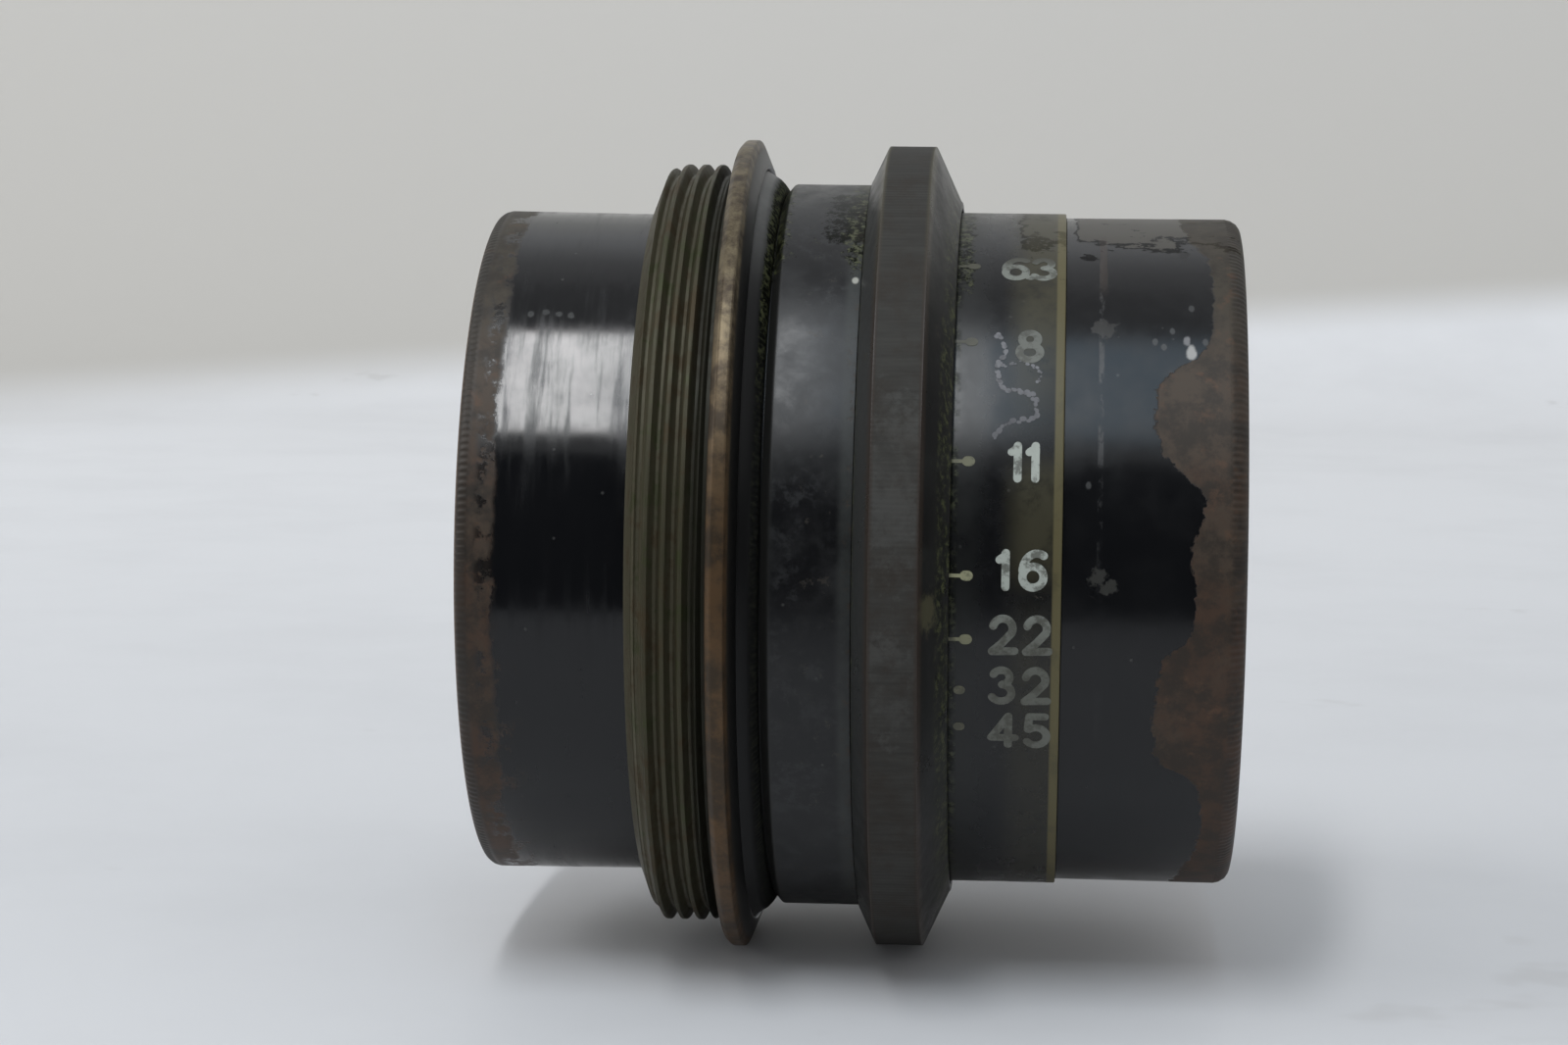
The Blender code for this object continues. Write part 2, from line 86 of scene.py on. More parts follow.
# ---- sizes taken from the frame
_, REAR_SPIGOT_END, REAR_RADIUS = span("rear_cell")
MOUNT_START, CONE_END, FLANGE_RADIUS = span("mount_flange")
CORE_START, BARREL_END, BARREL_RADIUS = span("main_barrel")
RING_START, RING_END, RING_RADIUS = span("iris_ring")
SCALE_START, SCALE_END, SCALE_RADIUS = span("scale_barrel")
FRONT_SPIGOT_START, LENGTH, FRONT_RADIUS = span("front_cell")

# Seams between screwed pieces are closed up from the CAD gaps to hairlines
SEAM = 0.04
THREAD_LIP = MOUNT_START + 0.4      # the thread's lead-in starts a little later than in the CAD
REAR_SHOULDER = THREAD_LIP - SEAM
BARREL_SHOULDER = CONE_END + 0.14
RING_SEAT_START = RING_START - 0.03
RING_SEAT_RADIUS = 20.8
SCALE_BODY_START = BARREL_END + 0.3
FRONT_SHOULDER = SCALE_END + SEAM

# Mount thread, the flange's seat beside it, and the serrated foot of its cone
THREAD_RADIUS = 22.5
THREAD_DEPTH = 0.62
THREAD_PITCH = 0.965
THREAD_FIRST_CREST = 9.96
THREAD_END = 13.95
SEAT_STATION = 14.3
SEAT_UNDERCUT = 0.15
SEAT_INNER_RADIUS = 22.6
CONE_FOOT_RADIUS = 20.94

# The milled land of the aperture ring, and the lens's numbers
LAND_START = 23.07
LAND_END = 25.79
NUMERAL_STATION = 31.3
INDEX_ANGLE = -2.0          # where the ring's index stands at rest

# The ring's drive screw, on the far side, and the degrees of slot either side of it
SCREW_STATION = 24.1
SCREW_ANGLE = 170.0
SCREW_SWEEP = (-23.3, 64.2)

CAMERA_ELEVATION = 7.0

SMOOTH_ANGLE = math.radians(32.0)
ROUND_SIDES = 320
FILLET_STEPS = 4
CELL_TEETH = 308            # milled teeth on the rim of the front and rear cells
KNURL_SAMPLES = 4           # mesh points for each tooth of a milled edge


# ---- turned meshes
def fillet(before, corner, after, size):
    """Points that round a corner of an outline."""
    corner = np.array(corner)
    to_before = np.array(before) - corner
    to_after = np.array(after) - corner
    reach = min(size, 0.45 * np.linalg.norm(to_before), 0.45 * np.linalg.norm(to_after))
    start = corner + to_before / np.linalg.norm(to_before) * reach
    end = corner + to_after / np.linalg.norm(to_after) * reach
    parts = np.linspace(0, 1, FILLET_STEPS + 1)
    return [tuple((1 - t) ** 2 * start + 2 * t * (1 - t) * corner + t * t * end) for t in parts]


class Ring:
    """One circle of a turned mesh: a place on the outline, and what its radius follows."""

    def __init__(self, station, radius, sides=ROUND_SIDES, relief=None):
        self.station = station
        self.radius = radius
        self.sides = sides
        self.relief = relief

    def points(self):
        angles = np.arange(self.sides) * (math.tau / self.sides)
        radius = np.full(self.sides, self.radius)
        if self.relief is not None:
            radius = radius + self.relief(self.station, angles)
        return np.stack([np.full(self.sides, self.station), -radius * np.cos(angles),
                         radius * np.sin(angles)], axis=1) * MM


def outline_rings(corners, sides=ROUND_SIDES):
    """Rings along a closed outline of (station, radius, fillet) corners."""
    rings = []
    count = len(corners)
    for index, (station, radius, size) in enumerate(corners):
        if size <= 0:
            rings.append(Ring(station, radius, sides))
            continue
        before = corners[index - 1][:2]
        after = corners[(index + 1) % count][:2]
        rings += [Ring(*point, sides) for point in fillet(before, (station, radius), after, size)]
    return rings


def bridge(first, first_count, second, second_count):
    """Faces between two circles of points, whose counts are equal or a multiple of each other."""
    circles = [(first, first_count), (second, second_count)]
    flip = second_count > first_count
    (fine, fine_count), (coarse, coarse_count) = circles[::-1] if flip else circles
    ratio = fine_count // coarse_count
    faces = []
    for index in range(coarse_count):
        chain = [fine + (index * ratio + step) % fine_count for step in range(ratio + 1)]
        face = chain + [coarse + (index + 1) % coarse_count, coarse + index]
        faces.append(face[::-1] if flip else face)
    return faces


def turned_piece(name, rings, finish, closed=True):
    """A mesh through circles of points.  An open one starts and ends on the axis."""
    starts = [0, *itertools.accumulate(ring.sides for ring in rings)]
    circles = list(zip(starts, (ring.sides for ring in rings)))
    followers = circles[1:] + (circles[:1] if closed else [])
    faces = []
    for before, after in zip(circles, followers):
        faces += bridge(*before, *after)
    if not closed:
        faces += [list(range(rings[0].sides)), list(range(*starts[-2:]))[::-1]]
    return new_piece(name, np.concatenate([ring.points() for ring in rings]), faces, finish)


def link(name, data):
    thing = bpy.data.objects.new(name, data)
    bpy.context.scene.collection.objects.link(thing)
    return thing


def link_piece(name, data, finish):
    """Shade a mesh smooth up to its edges, and set it on the lens's axis."""
    data.shade_smooth()
    data.set_sharp_from_angle(angle=SMOOTH_ANGLE)
    if finish:
        data.materials.append(finish)
    piece = link(name, data)
    piece.location = AXIS
    return piece


def new_piece(name, points, faces, finish):
    data = bpy.data.meshes.new(name)
    data.from_pydata([tuple(point) for point in points], [], faces)
    data.validate()
    mesh = bmesh.new()
    mesh.from_mesh(data)
    bmesh.ops.recalc_face_normals(mesh, faces=mesh.faces)
    mesh.to_mesh(data)
    mesh.free()
    return link_piece(name, data, finish)


def cut(piece, tool):
    """Take the tool's shape out of the piece."""
    bpy.context.view_layer.update()
    step = piece.modifiers.new("cut", "BOOLEAN")
    step.operation = "DIFFERENCE"
    step.solver = "MANIFOLD"
    step.object = tool
    result = bpy.data.meshes.new_from_object(piece.evaluated_get(bpy.context.evaluated_depsgraph_get()))
    piece.modifiers.remove(step)
    piece.data = result
    piece.data.name = piece.name
    piece.data.set_sharp_from_angle(angle=SMOOTH_ANGLE)
    bpy.data.objects.remove(tool)


def on_lens(station, radius, angle):
    """A point in the axis's own space, in metres, at an angle in degrees."""
    turn = math.radians(angle)
    return Vector((station, -radius * math.cos(turn), radius * math.sin(turn))) * MM


# ---- shader building
class Field:
    """A value in a material's node tree.  Arithmetic with it makes the nodes that work it out."""

    def __init__(self, shader, socket):
        self.shader = shader
        self.socket = socket

    def __add__(self, other):
        return self.shader.math("ADD", self, other)

    def __mul__(self, other):
        return self.shader.math("MULTIPLY", self, other)

    def __sub__(self, other):
        return self.shader.math("SUBTRACT", self, other)

    def __rsub__(self, other):
        return self.shader.math("SUBTRACT", other, self)

    def __abs__(self):
        return self.shader.math("ABSOLUTE", self)

    def ramp(self, low, high, to_low=0.0, to_high=1.0):
        """Map low..high to to_low..to_high with a smooth step."""
        return self.shader.value("ShaderNodeMapRange", {0: self, 1: low, 2: high, 3: to_low, 4: to_high},
                                 interpolation_type="SMOOTHSTEP")

    __radd__ = __add__
    __rmul__ = __mul__


class Shader:
    """A material's node tree, with short calls for the nodes that the finishes need."""

    def __init__(self, name):
        self.material = bpy.data.materials.new(name)
        self.material.use_nodes = True
        self.tree = self.material.node_tree
        self.principled = self.tree.nodes["Principled BSDF"]
        metres = self.value("ShaderNodeTexCoord", output="Object")
        self.place = self.scaled(metres, 1.0 / MM)
        parts = self.node("ShaderNodeSeparateXYZ", {0: self.place})
        self.station, self.side, self.height = (Field(self, socket) for socket in parts.outputs)
        self.angle = self.math("DEGREES", self.math("ARCTAN2", self.height, self.side * -1.0))
        self.radius = self.math("SQRT", self.side * self.side + self.height * self.height)
        self.rough_edge = None

    def node(self, kind, inputs=None, **settings):
        made = self.tree.nodes.new(kind)
        for key, value in settings.items():
            setattr(made, key, value)
        for key, value in (inputs or {}).items():
            self.feed(made.inputs[key], value)
        return made

    def value(self, kind, inputs=None, output=0, **settings):
        return Field(self, self.node(kind, inputs, **settings).outputs[output])

    def feed(self, socket, value):
        if isinstance(value, Field):
            self.tree.links.new(value.socket, socket)
        elif socket.type == "RGBA" and len(value) == 3:
            socket.default_value = (*value, 1.0)
        else:
            socket.default_value = value

    def math(self, operation, first, second=0.0, clamp=False):
        return self.value("ShaderNodeMath", {0: first, 1: second}, operation=operation, use_clamp=clamp)

    def most(self, first, second):
        return self.math("MAXIMUM", first, second)

    def scaled(self, vector, factor):
        return self.value("ShaderNodeVectorMath", {0: vector, "Scale": factor}, operation="SCALE")

    def noise(self, scale, detail, roughness, offset=0.0, stretch=(1.0, 1.0, 1.0)):
        """Noise with about `scale` features to a millimetre, shifted, and stretched along X, Y and Z."""
        moved = self.value("ShaderNodeMapping", {"Vector": self.place, "Scale": stretch,
                                                 "Location": (offset, offset * 0.7, offset * 1.3)})
        return self.value("ShaderNodeTexNoise", {"Vector": moved, "Scale": scale, "Detail": detail,
                                                 "Roughness": roughness}, "Fac")

    def curve(self, value, points):
        """A smooth curve through (value, result) points; results are kept within 0..1."""
        low = points[0][0]
        length = points[-1][0] - low
        made = self.node("ShaderNodeFloatCurve", {"Value": self.math("DIVIDE", value - low, length, True)})
        line = made.mapping.curves[0]
        places = [((place - low) / length, result) for place, result in points]
        line.points[0].location = places[0]
        line.points[1].location = places[-1]
        for place in places[1:-1]:
            line.points.new(*place)
        made.mapping.update()
        return Field(self, made.outputs[0])

    def ring_line(self, station, half_width):
        """1 on a line round the lens at a station, fading to 0 at half_width."""
        return abs(self.station - station).ramp(half_width, half_width * 0.4)

    def spot(self, station, angle, width, height, ragged=0.5):
        """1 in the middle of a soft ragged spot, 0 from `width` millimetres and `height` degrees away."""
        across = self.math("DIVIDE", self.station - station, width)
        around = self.math("DIVIDE", self.angle - angle, height)
        distance = self.math("SQRT", across * across + around * around)
        if self.rough_edge is None:
            self.rough_edge = self.noise(1.6, 4.0, 0.7, 51.0) - 0.5
        return (distance + self.rough_edge * (2.0 * ragged)).ramp(1.0, 0.5)

    def blend(self, factor, first, second):
        """From the first colour to the second."""
        return self.value("ShaderNodeMix", {0: factor, 6: first, 7: second}, 2, data_type="RGBA")

    def mix(self, factor, first, second):
        """From the first number to the second."""
        return self.value("ShaderNodeMix", {0: factor, 2: first, 3: second}, data_type="FLOAT")

    def bump(self, height, distance, strength=0.5):
        """A bump whose full height is `distance` millimetres."""
        return self.value("ShaderNodeBump", {"Height": height, "Distance": distance * MM,
                                             "Strength": strength})

    def finish(self, colour, roughness, metallic=0.0, normal=None, **constants):
        self.feed(self.principled.inputs["Base Color"], colour)
        self.feed(self.principled.inputs["Roughness"], roughness)
        self.feed(self.principled.inputs["Metallic"], metallic)
        if normal is not None:
            self.feed(self.principled.inputs["Normal"], normal)
        for key, value in constants.items():
            self.principled.inputs[key.replace("_", " ")].default_value = value
        return self.material


# ---- finishes
LACQUER_BLACK = (0.0034, 0.0037, 0.0044)
DUST = (0.028, 0.029, 0.029)
SPECK_GREY = (0.09, 0.09, 0.085)
WORN_BROWN = (0.052, 0.036, 0.024)
WORN_RED = (0.052, 0.028, 0.016)
WORN_DARK = (0.022, 0.017, 0.012)
WORN_OLIVE = (0.040, 0.035, 0.024)
WORN_COPPER = (0.085, 0.044, 0.024)
VERDIGRIS = (0.066, 0.072, 0.030)
OLIVE_TARNISH = (0.042, 0.038, 0.019)
EDGE_BRASS = (0.092, 0.079, 0.034)
DEPOSIT_BLACK = (0.006, 0.007, 0.004)
CHIP_GREY = (0.30, 0.30, 0.29)

# Where the flange's bare rim gives way to its black cone
CONE_BLACK_START = 15.45
CONE_BLACK_FULL = 15.82


def lacquer(name, worn, stains, roughness, haze=0.0, streaks=0.0):
    """Black lacquer over brass.

    worn(shader) gives 1 where the lacquer has rubbed off.  stains(shader) gives places, 0 to 1, with
    their colours, and for dirt also how much it swallows the shine.  streaks is how far fine
    scratches round the barrel dull the gloss.
    """
    s = Shader(name)
    scratches = s.noise(1.5, 5.0, 0.65, stretch=(1.0, 0.09, 0.09))
    clouds = s.noise(0.45, 5.0, 0.62, 11.0)
    moved = s.value("ShaderNodeMapping", {"Vector": s.place, "Location": (3.0, 3.0, 3.0)})
    specks = s.value("ShaderNodeTexVoronoi", {"Vector": moved, "Scale": 0.6}).ramp(0.075, 0.03)
    wear = worn(s)
    reddish = (s.noise(0.22, 5.0, 0.7, 21.0) + s.angle * -0.003).ramp(0.36, 0.62)
    brown = s.blend(reddish, WORN_BROWN, WORN_RED)
    brown = s.blend(s.angle.ramp(25.0, 60.0) * 0.8, brown, WORN_OLIVE)
    brown = s.blend(s.noise(0.5, 8.0, 0.72, 31.0).ramp(0.42, 0.60) * 0.85, brown, WORN_DARK)
    brown = s.blend(s.noise(0.8, 6.0, 0.7, 63.0).ramp(0.56, 0.70) * 0.6, brown, WORN_COPPER)
    film = s.blend(clouds.ramp(0.45, 0.75) * haze, LACQUER_BLACK, DUST)
    film = s.blend(specks * 0.35, film, SPECK_GREY)
    gloss = roughness + scratches.ramp(0.42, 0.72) * streaks + clouds.ramp(0.30, 0.75) * (0.07 + 0.25 * haze)
    metallic = wear * 0.15
    for place, colour, *dull in stains(s):
        film = s.blend(place, film, colour)
        gloss = s.mix(place, gloss, 0.42)
        if dull:        # a black metal shines less than black lacquer does
            metallic = s.mix(place, metallic, dull[0])
    relief = scratches * 0.2 + clouds * 0.2 + wear * -2.5
    return s.finish(s.blend(wear, film, brown), s.mix(wear, gloss, 0.56), metallic, s.bump(relief, 0.006),
                    IOR=1.43)


def rear_wear(s):
    """A worn band inside the milled rim, and rubbed patches low on the near side."""
    ragged = (s.noise(0.3, 6.0, 0.65) - 0.5) * 1.3
    rim = (2.15 + ragged - s.station).ramp(-0.22, 0.22)
    low = (s.noise(0.45, 6.0, 0.7, 5.0, (1.6, 1.0, 1.0)).ramp(0.50, 0.60)
           * s.station.ramp(4.0, 2.2) * s.angle.ramp(0.0, -20.0))
    left_black = s.noise(0.55, 6.0, 0.7, 71.0).ramp(0.50, 0.58) * s.station.ramp(0.9, 1.5) * 0.8
    return s.most(rim, low * 0.7) * (1.0 - left_black) * s.station.ramp(0.55, 0.95, 0.35, 1.0)


def rear_stains(s):
    """Dirt and a bare corner on the milled rim, cracks on top, and small painted glints beside the worn
    band.
    """
    # Four small pale spots just above the lights' reflection: painted glints.
    spots = [(s.spot(station, angle, 0.24, 0.8, 0.8) * 0.6, (0.028, 0.030, 0.029))
             for station, angle in ((3.5, 47.2), (4.35, 47.6), (5.1, 47.4), (5.75, 47.0))]
    cracks = (s.noise(1.1, 5.0, 0.7, 83.0, (2.2, 0.35, 0.35)).ramp(0.64, 0.67)
              * s.angle.ramp(62.0, 74.0) * s.station.ramp(5.5, 3.5))
    return [(s.station.ramp(0.95, 0.55), (0.013, 0.011, 0.008)), (cracks, DEPOSIT_BLACK, 0.9),
            (s.station.ramp(0.16, 0.08), (0.10, 0.060, 0.035))] + spots


def front_wear(s):
    """A ragged bare band along the front rim.  The curve is how far it reaches back."""
    reach = s.curve(s.angle, [
        (-180.0, 0.55), (-120.0, 0.40), (-85.0, 0.50), (-61.0, 0.40), (-46.0, 0.29), (-33.0, 0.41),
        (-26.0, 0.70), (-12.0, 0.66), (-6.0, 0.42), (0.5, 0.40), (6.0, 0.44), (9.5, 0.41), (14.1, 0.33),
        (17.5, 0.44), (21.0, 0.59), (24.5, 0.70), (31.0, 0.73), (35.1, 0.67), (38.9, 0.47), (42.0, 0.33),
        (46.0, 0.28), (57.0, 0.27), (68.0, 0.38), (76.0, 0.48), (97.0, 0.52), (120.0, 0.50), (180.0, 0.55)])
    edge = LENGTH - reach * 7.0
    fine = (s.noise(1.3, 8.0, 0.8, 9.0) - 0.5) * 1.6
    rubbed = s.station.ramp(LENGTH - 0.75, LENGTH - 0.95, 0.8, 1.0)
    return (s.station - edge + fine).ramp(-0.06, 0.06) * rubbed


def flakes_on_top(s, offset, first_station):
    """Where the lacquer has flaked on top of the lens, and a painted shadow as a dark edge round each flake.
    """
    top = abs(s.angle - 90.0).ramp(32.0, 12.0) * s.station.ramp(first_station, first_station + 1.0)
    peeling = s.noise(0.5, 8.0, 0.68, offset, (0.7, 1.0, 1.0)) + top * 0.32
    flake = peeling.ramp(0.705, 0.715)
    # The dark edge round each flake is a painted shadow.
    edge = (peeling.ramp(0.635, 0.645) - flake) * top.ramp(0.0, 0.2)
    return [(flake * 0.9, (0.046, 0.041, 0.032)), (edge, (0.003, 0.003, 0.003), 1.0)]


def front_stains(s):
    """Flakes on top, a broken pale line with rust round the cell, soft spots, and chips near the rim."""
    broken = s.noise(1.2, 5.0, 0.75, 41.0, (1.0, 0.5, 0.5))
    line = s.ring_line(35.5, 0.2) * broken.ramp(0.44, 0.60) * abs(s.angle - 37.0).ramp(40.0, 5.0, 0.12, 0.9)
    rust = s.ring_line(35.6, 0.3) * abs(s.angle - 64.0).ramp(12.0, 6.0)
    stains = [(line * 0.7, (0.055, 0.055, 0.055)), (rust * 0.55, (0.036, 0.025, 0.019)),
              (s.spot(35.55, 45.6, 0.9, 2.2, 1.6) * 0.6, (0.030, 0.028, 0.024)),
              (s.spot(35.5, 2.2, 0.65, 1.6, 1.6) * 0.8, (0.034, 0.034, 0.030)),
              (s.spot(36.0, 0.9, 0.65, 1.5, 1.6) * 0.8, (0.034, 0.034, 0.030)),
              (s.spot(40.15, 65.5, 0.4, 2.0), (0.006, 0.006, 0.006)),
              (s.spot(40.44, 40.7, 0.34, 1.9), CHIP_GREY),
              (s.spot(40.18, 43.2, 0.24, 1.2), (0.15, 0.15, 0.155))]
    stains += [(s.spot(station, angle, 0.2, 0.9) * 0.6, (0.06, 0.062, 0.062)) for station, angle in (
        (39.4, 45.3), (38.92, 41.9), (38.43, 43.0), (40.46, 50.4), (40.46, 37.6), (41.2, 43.0),
        (34.85, 17.2))]
    return flakes_on_top(s, 15.0, FRONT_SHOULDER) + stains


def barrel_wear(s):
    """A rubbed edge beside the aperture ring."""
    return (s.station.ramp(RING_SEAT_START - 0.9, RING_SEAT_START + 0.1)
            * s.noise(1.2, 6.0, 0.75, 17.0).ramp(0.50, 0.66) * 0.8)


def deposit_on_top(s, start, end, offset, middle=78.0, reach=32.0):
    """Ragged deposits between two stations, thick within `reach` degrees of `middle`, thin elsewhere."""
    on_top = abs(s.angle - middle).ramp(reach, 0.65 * reach, -0.14, 0.07)
    ragged = s.noise(1.9, 8.0, 0.85, offset) + on_top
    return (ragged + s.station.ramp(start, end, -0.16, 0.0)).ramp(0.50, 0.57)


def green_grains(s):
    return s.noise(2.4, 5.0, 0.75, 73.0).ramp(0.48, 0.58)


def corrosion(s, place):
    """A stain of green grains in black dirt."""
    green = green_grains(s)
    return place, s.blend(green, DEPOSIT_BLACK, VERDIGRIS), 1.0 - green


def barrel_stains(s):
    """Bloom on the lacquer, a painted grey-teal sheen beside the aperture ring, and green, brown and black
    deposits at the barrel's ends, most on top.
    """
    bloom = (s.noise(0.9, 6.0, 0.72, 81.0).ramp(0.48, 0.62)
             * s.noise(0.25, 3.0, 0.6, 5.0).ramp(0.42, 0.56) * 0.8)
    shoulder = s.station.ramp(BARREL_SHOULDER + 0.7, BARREL_SHOULDER + 0.3)
    # The grey-teal band at the barrel's front end, beside the ring, is a painted sheen.
    rim = (s.station.ramp(RING_START - 1.0, RING_START - 0.5)
           * s.noise(0.35, 5.0, 0.7, 33.0).ramp(0.3, 0.6, 0.45, 1.0))
    brown = s.noise(0.7, 7.0, 0.75, 13.0).ramp(0.60, 0.66) * s.ring_line(20.4, 1.6)
    return [(bloom, (0.018, 0.019, 0.020)), (shoulder, (0.012, 0.012, 0.011)),
            (rim * 0.85, (0.028, 0.031, 0.029)), (brown * 0.7, (0.036, 0.031, 0.024)),
            (deposit_on_top(s, RING_START - 2.9, RING_START - 1.6, 61.0, 69.0, 12.0), DEPOSIT_BLACK, 1.0),
            corrosion(s, deposit_on_top(s, RING_START - 1.7, RING_START - 0.5, 29.0)),
            corrosion(s, deposit_on_top(s, BARREL_SHOULDER + 1.1, BARREL_SHOULDER + 0.1, 91.0)),
            (s.spot(21.75, 50.4, 0.24, 0.9, 0.2), (0.36, 0.36, 0.32))]


def scale_wear(s):
    return s.noise(1.1, 6.0, 0.8, 23.0).ramp(0.70, 0.74) * 0.7


def scale_stains(s):
    """Flakes on top, dirt and deposits at the ring's foot, tarnished numbers, and a bare brass edge."""
    mottle = s.noise(0.6, 6.0, 0.72, 37.0)
    upper = s.angle.ramp(20.0, 50.0)
    middle = abs(s.angle - 11.0).ramp(13.0, 6.0)
    lower = s.angle.ramp(4.0, -10.0, 0.0, 0.35)
    tarnish = (s.station.ramp(NUMERAL_STATION - 1.5, NUMERAL_STATION + 0.4)
               * s.most(s.most(upper, middle), lower) * mottle.ramp(0.32, 0.55, 0.45, 1.0))
    patchy = s.noise(0.5, 5.0, 0.7).ramp(0.3, 0.5, 0.7, 1.0)
    edge = s.station.ramp(SCALE_END - 0.58, SCALE_END - 0.44) * patchy
    foot = s.most(deposit_on_top(s, RING_END + 1.4, RING_END + 0.5, 43.0),
                  s.station.ramp(RING_END + 0.5, RING_END + 0.2) * mottle.ramp(0.4, 0.6) * 0.6)
    dirt = s.station.ramp(RING_END + 2.6, RING_END + 0.6) * mottle.ramp(0.25, 0.6, 0.35, 1.0)
    return flakes_on_top(s, 47.0, NUMERAL_STATION - 1.0) + [
        (dirt * 0.6, (0.012, 0.013, 0.012)), (tarnish * 0.85, OLIVE_TARNISH),
        (edge, EDGE_BRASS), corrosion(s, foot * 0.9)]


def thread_brass():
    """Tarnished brass thread, dark in the grooves, with a rubbed copper rim painted lighter towards the top
    as a highlight, and a black cone.
    """
    s = Shader("mount_brass")
    mottle = s.noise(0.5, 6.0, 0.72)
    crest = s.radius.ramp(THREAD_RADIUS - THREAD_DEPTH, THREAD_RADIUS)
    lead_in = s.station.ramp(THREAD_FIRST_CREST - 0.05, THREAD_FIRST_CREST - 0.35)
    last_turns = s.station.ramp(THREAD_END - 0.95, THREAD_END - 0.5, 0.0, 0.8)
    thread = s.blend(crest, (0.070, 0.063, 0.040), (0.048, 0.044, 0.026))
    thread = s.blend(mottle.ramp(0.50, 0.62) * 0.7, thread, (0.052, 0.036, 0.018))
    thread = s.blend(mottle.ramp(0.46, 0.36) * 0.7, thread, (0.040, 0.047, 0.018))
    thread = s.blend(lead_in, thread, (0.080, 0.073, 0.048))
    thread = s.blend(last_turns, thread, (0.014, 0.014, 0.010))
    # The rim is painted lighter and paler towards the top: a painted highlight.
    copper = s.blend(s.angle.ramp(0.0, 50.0), (0.100, 0.060, 0.031), (0.150, 0.122, 0.076))
    copper = s.blend(s.noise(0.5, 6.0, 0.7, 4.0).ramp(0.38, 0.62), copper, (0.046, 0.034, 0.023))
    rim = (s.radius.ramp(FLANGE_RADIUS - 0.65, FLANGE_RADIUS - 0.3)
           * s.station.ramp(CONE_BLACK_FULL, CONE_BLACK_START))
    seat = s.station.ramp(SEAT_STATION - 0.25, SEAT_STATION)
    cone = s.station.ramp(CONE_BLACK_START, CONE_BLACK_FULL)
    colour = s.blend(seat, thread, (0.015, 0.014, 0.012))
    dusty = s.angle.ramp(44.0, 70.0) * mottle.ramp(0.3, 0.6, 0.7, 1.0)
    colour = s.blend(cone, colour, s.blend(dusty, (0.0050, 0.0050, 0.0050), (0.075, 0.076, 0.073)))
    colour = s.blend(rim, colour, copper)
    ragged = (s.noise(1.6, 6.0, 0.75, 8.0) - 0.5) * 0.6
    foot = (s.station + ragged).ramp(CONE_END - 0.5, CONE_END - 0.34) * s.angle.ramp(22.0, 50.0, 0.15, 0.95)
    green = green_grains(s) * 0.75
    colour = s.blend(foot, colour, s.blend(green, DEPOSIT_BLACK, VERDIGRIS))
    bare = s.most(rim, 1.0 - seat)
    rough = s.mix(bare, 0.38, mottle.ramp(0.3, 0.7, 0.44, 0.6))
    rough = s.mix(rim, rough, mottle.ramp(0.3, 0.7, 0.34, 0.5))
    rough = s.mix(s.station.ramp(CONE_END - 0.7, CONE_END - 0.4), rough, 0.7)
    relief = s.noise(2.0, 4.0, 0.7, stretch=(1.0, 0.06, 0.06)) + s.noise(2.5, 4.0, 0.7)
    metallic = s.mix(foot, bare * 0.30 + rim * 0.20, 1.0 - green)
    return s.finish(colour, rough, metallic, s.bump(relief, 0.008), IOR=1.3)


def ring_bronze():
    """Bare milled land between brown-edged black bevels, the rear one painted lighter as a sheen, with
    deposits at both feet.
    """
    s = Shader("ring_bronze")
    middle = (LAND_START + LAND_END) / 2
    half = (LAND_END - LAND_START) / 2
    off_middle = abs(s.station - middle)
    on_land = off_middle.ramp(half + 0.02, half - 0.12)
    edge = off_middle.ramp(half - 0.25, half - 0.03) * off_middle.ramp(half + 0.28, half + 0.08)
    lines = s.noise(2.6, 3.0, 0.7, stretch=(0.08, 1.0, 1.0))
    mottle = s.noise(0.35, 6.0, 0.72, 6.0)
    land = s.blend(lines.ramp(0.3, 0.7), (0.029, 0.028, 0.025), (0.038, 0.037, 0.033))
    land = s.blend(mottle.ramp(0.42, 0.66) * 0.7, land, (0.027, 0.022, 0.017))
    light = ((s.spot(24.6, 15.0, 2.4, 15.0, 1.1) + s.spot(24.2, -12.0, 1.8, 9.0, 1.1))
             * s.noise(0.5, 6.0, 0.7, 57.0).ramp(0.35, 0.6))
    land = s.blend(light * 0.6, land, (0.060, 0.060, 0.056))
    rubbed = s.noise(0.8, 6.0, 0.75, 19.0).ramp(0.60, 0.70) * 0.6
    foot = (s.radius.ramp(BARREL_RADIUS + 0.7, BARREL_RADIUS + 0.05)
            * s.noise(1.0, 6.0, 0.75, 27.0).ramp(0.40, 0.58))
    smear = s.spot(26.25, INDEX_ANGLE, 0.6, 3.2, 0.8) * 0.75
    # The rear bevel is painted lighter than the front one: a painted sheen.
    bevel_with_painted_sheen = s.blend(s.station.ramp(middle - 0.1, middle + 0.1), (0.030, 0.031, 0.030),
                    (0.0095, 0.0095, 0.0090))
    bevel_with_painted_sheen = s.blend(rubbed, bevel_with_painted_sheen, (0.036, 0.031, 0.023))
    bevel_with_painted_sheen = s.blend(foot * 0.7, bevel_with_painted_sheen, s.blend(green_grains(s), DEPOSIT_BLACK, VERDIGRIS))
    bevel_with_painted_sheen = s.blend(smear, bevel_with_painted_sheen, (0.066, 0.062, 0.034))
    edge_colour = s.blend(s.angle.ramp(35.0, 75.0), (0.034, 0.024, 0.018), (0.075, 0.069, 0.046))
    colour = s.blend(edge * 0.7, s.blend(on_land, bevel_with_painted_sheen, land), edge_colour)
    rough = s.mix(on_land, mottle.ramp(0.3, 0.7, 0.26, 0.42), 0.72)
    return s.finish(colour, rough, on_land * 0.1, s.bump(lines + mottle * 0.4, 0.004), IOR=1.33)


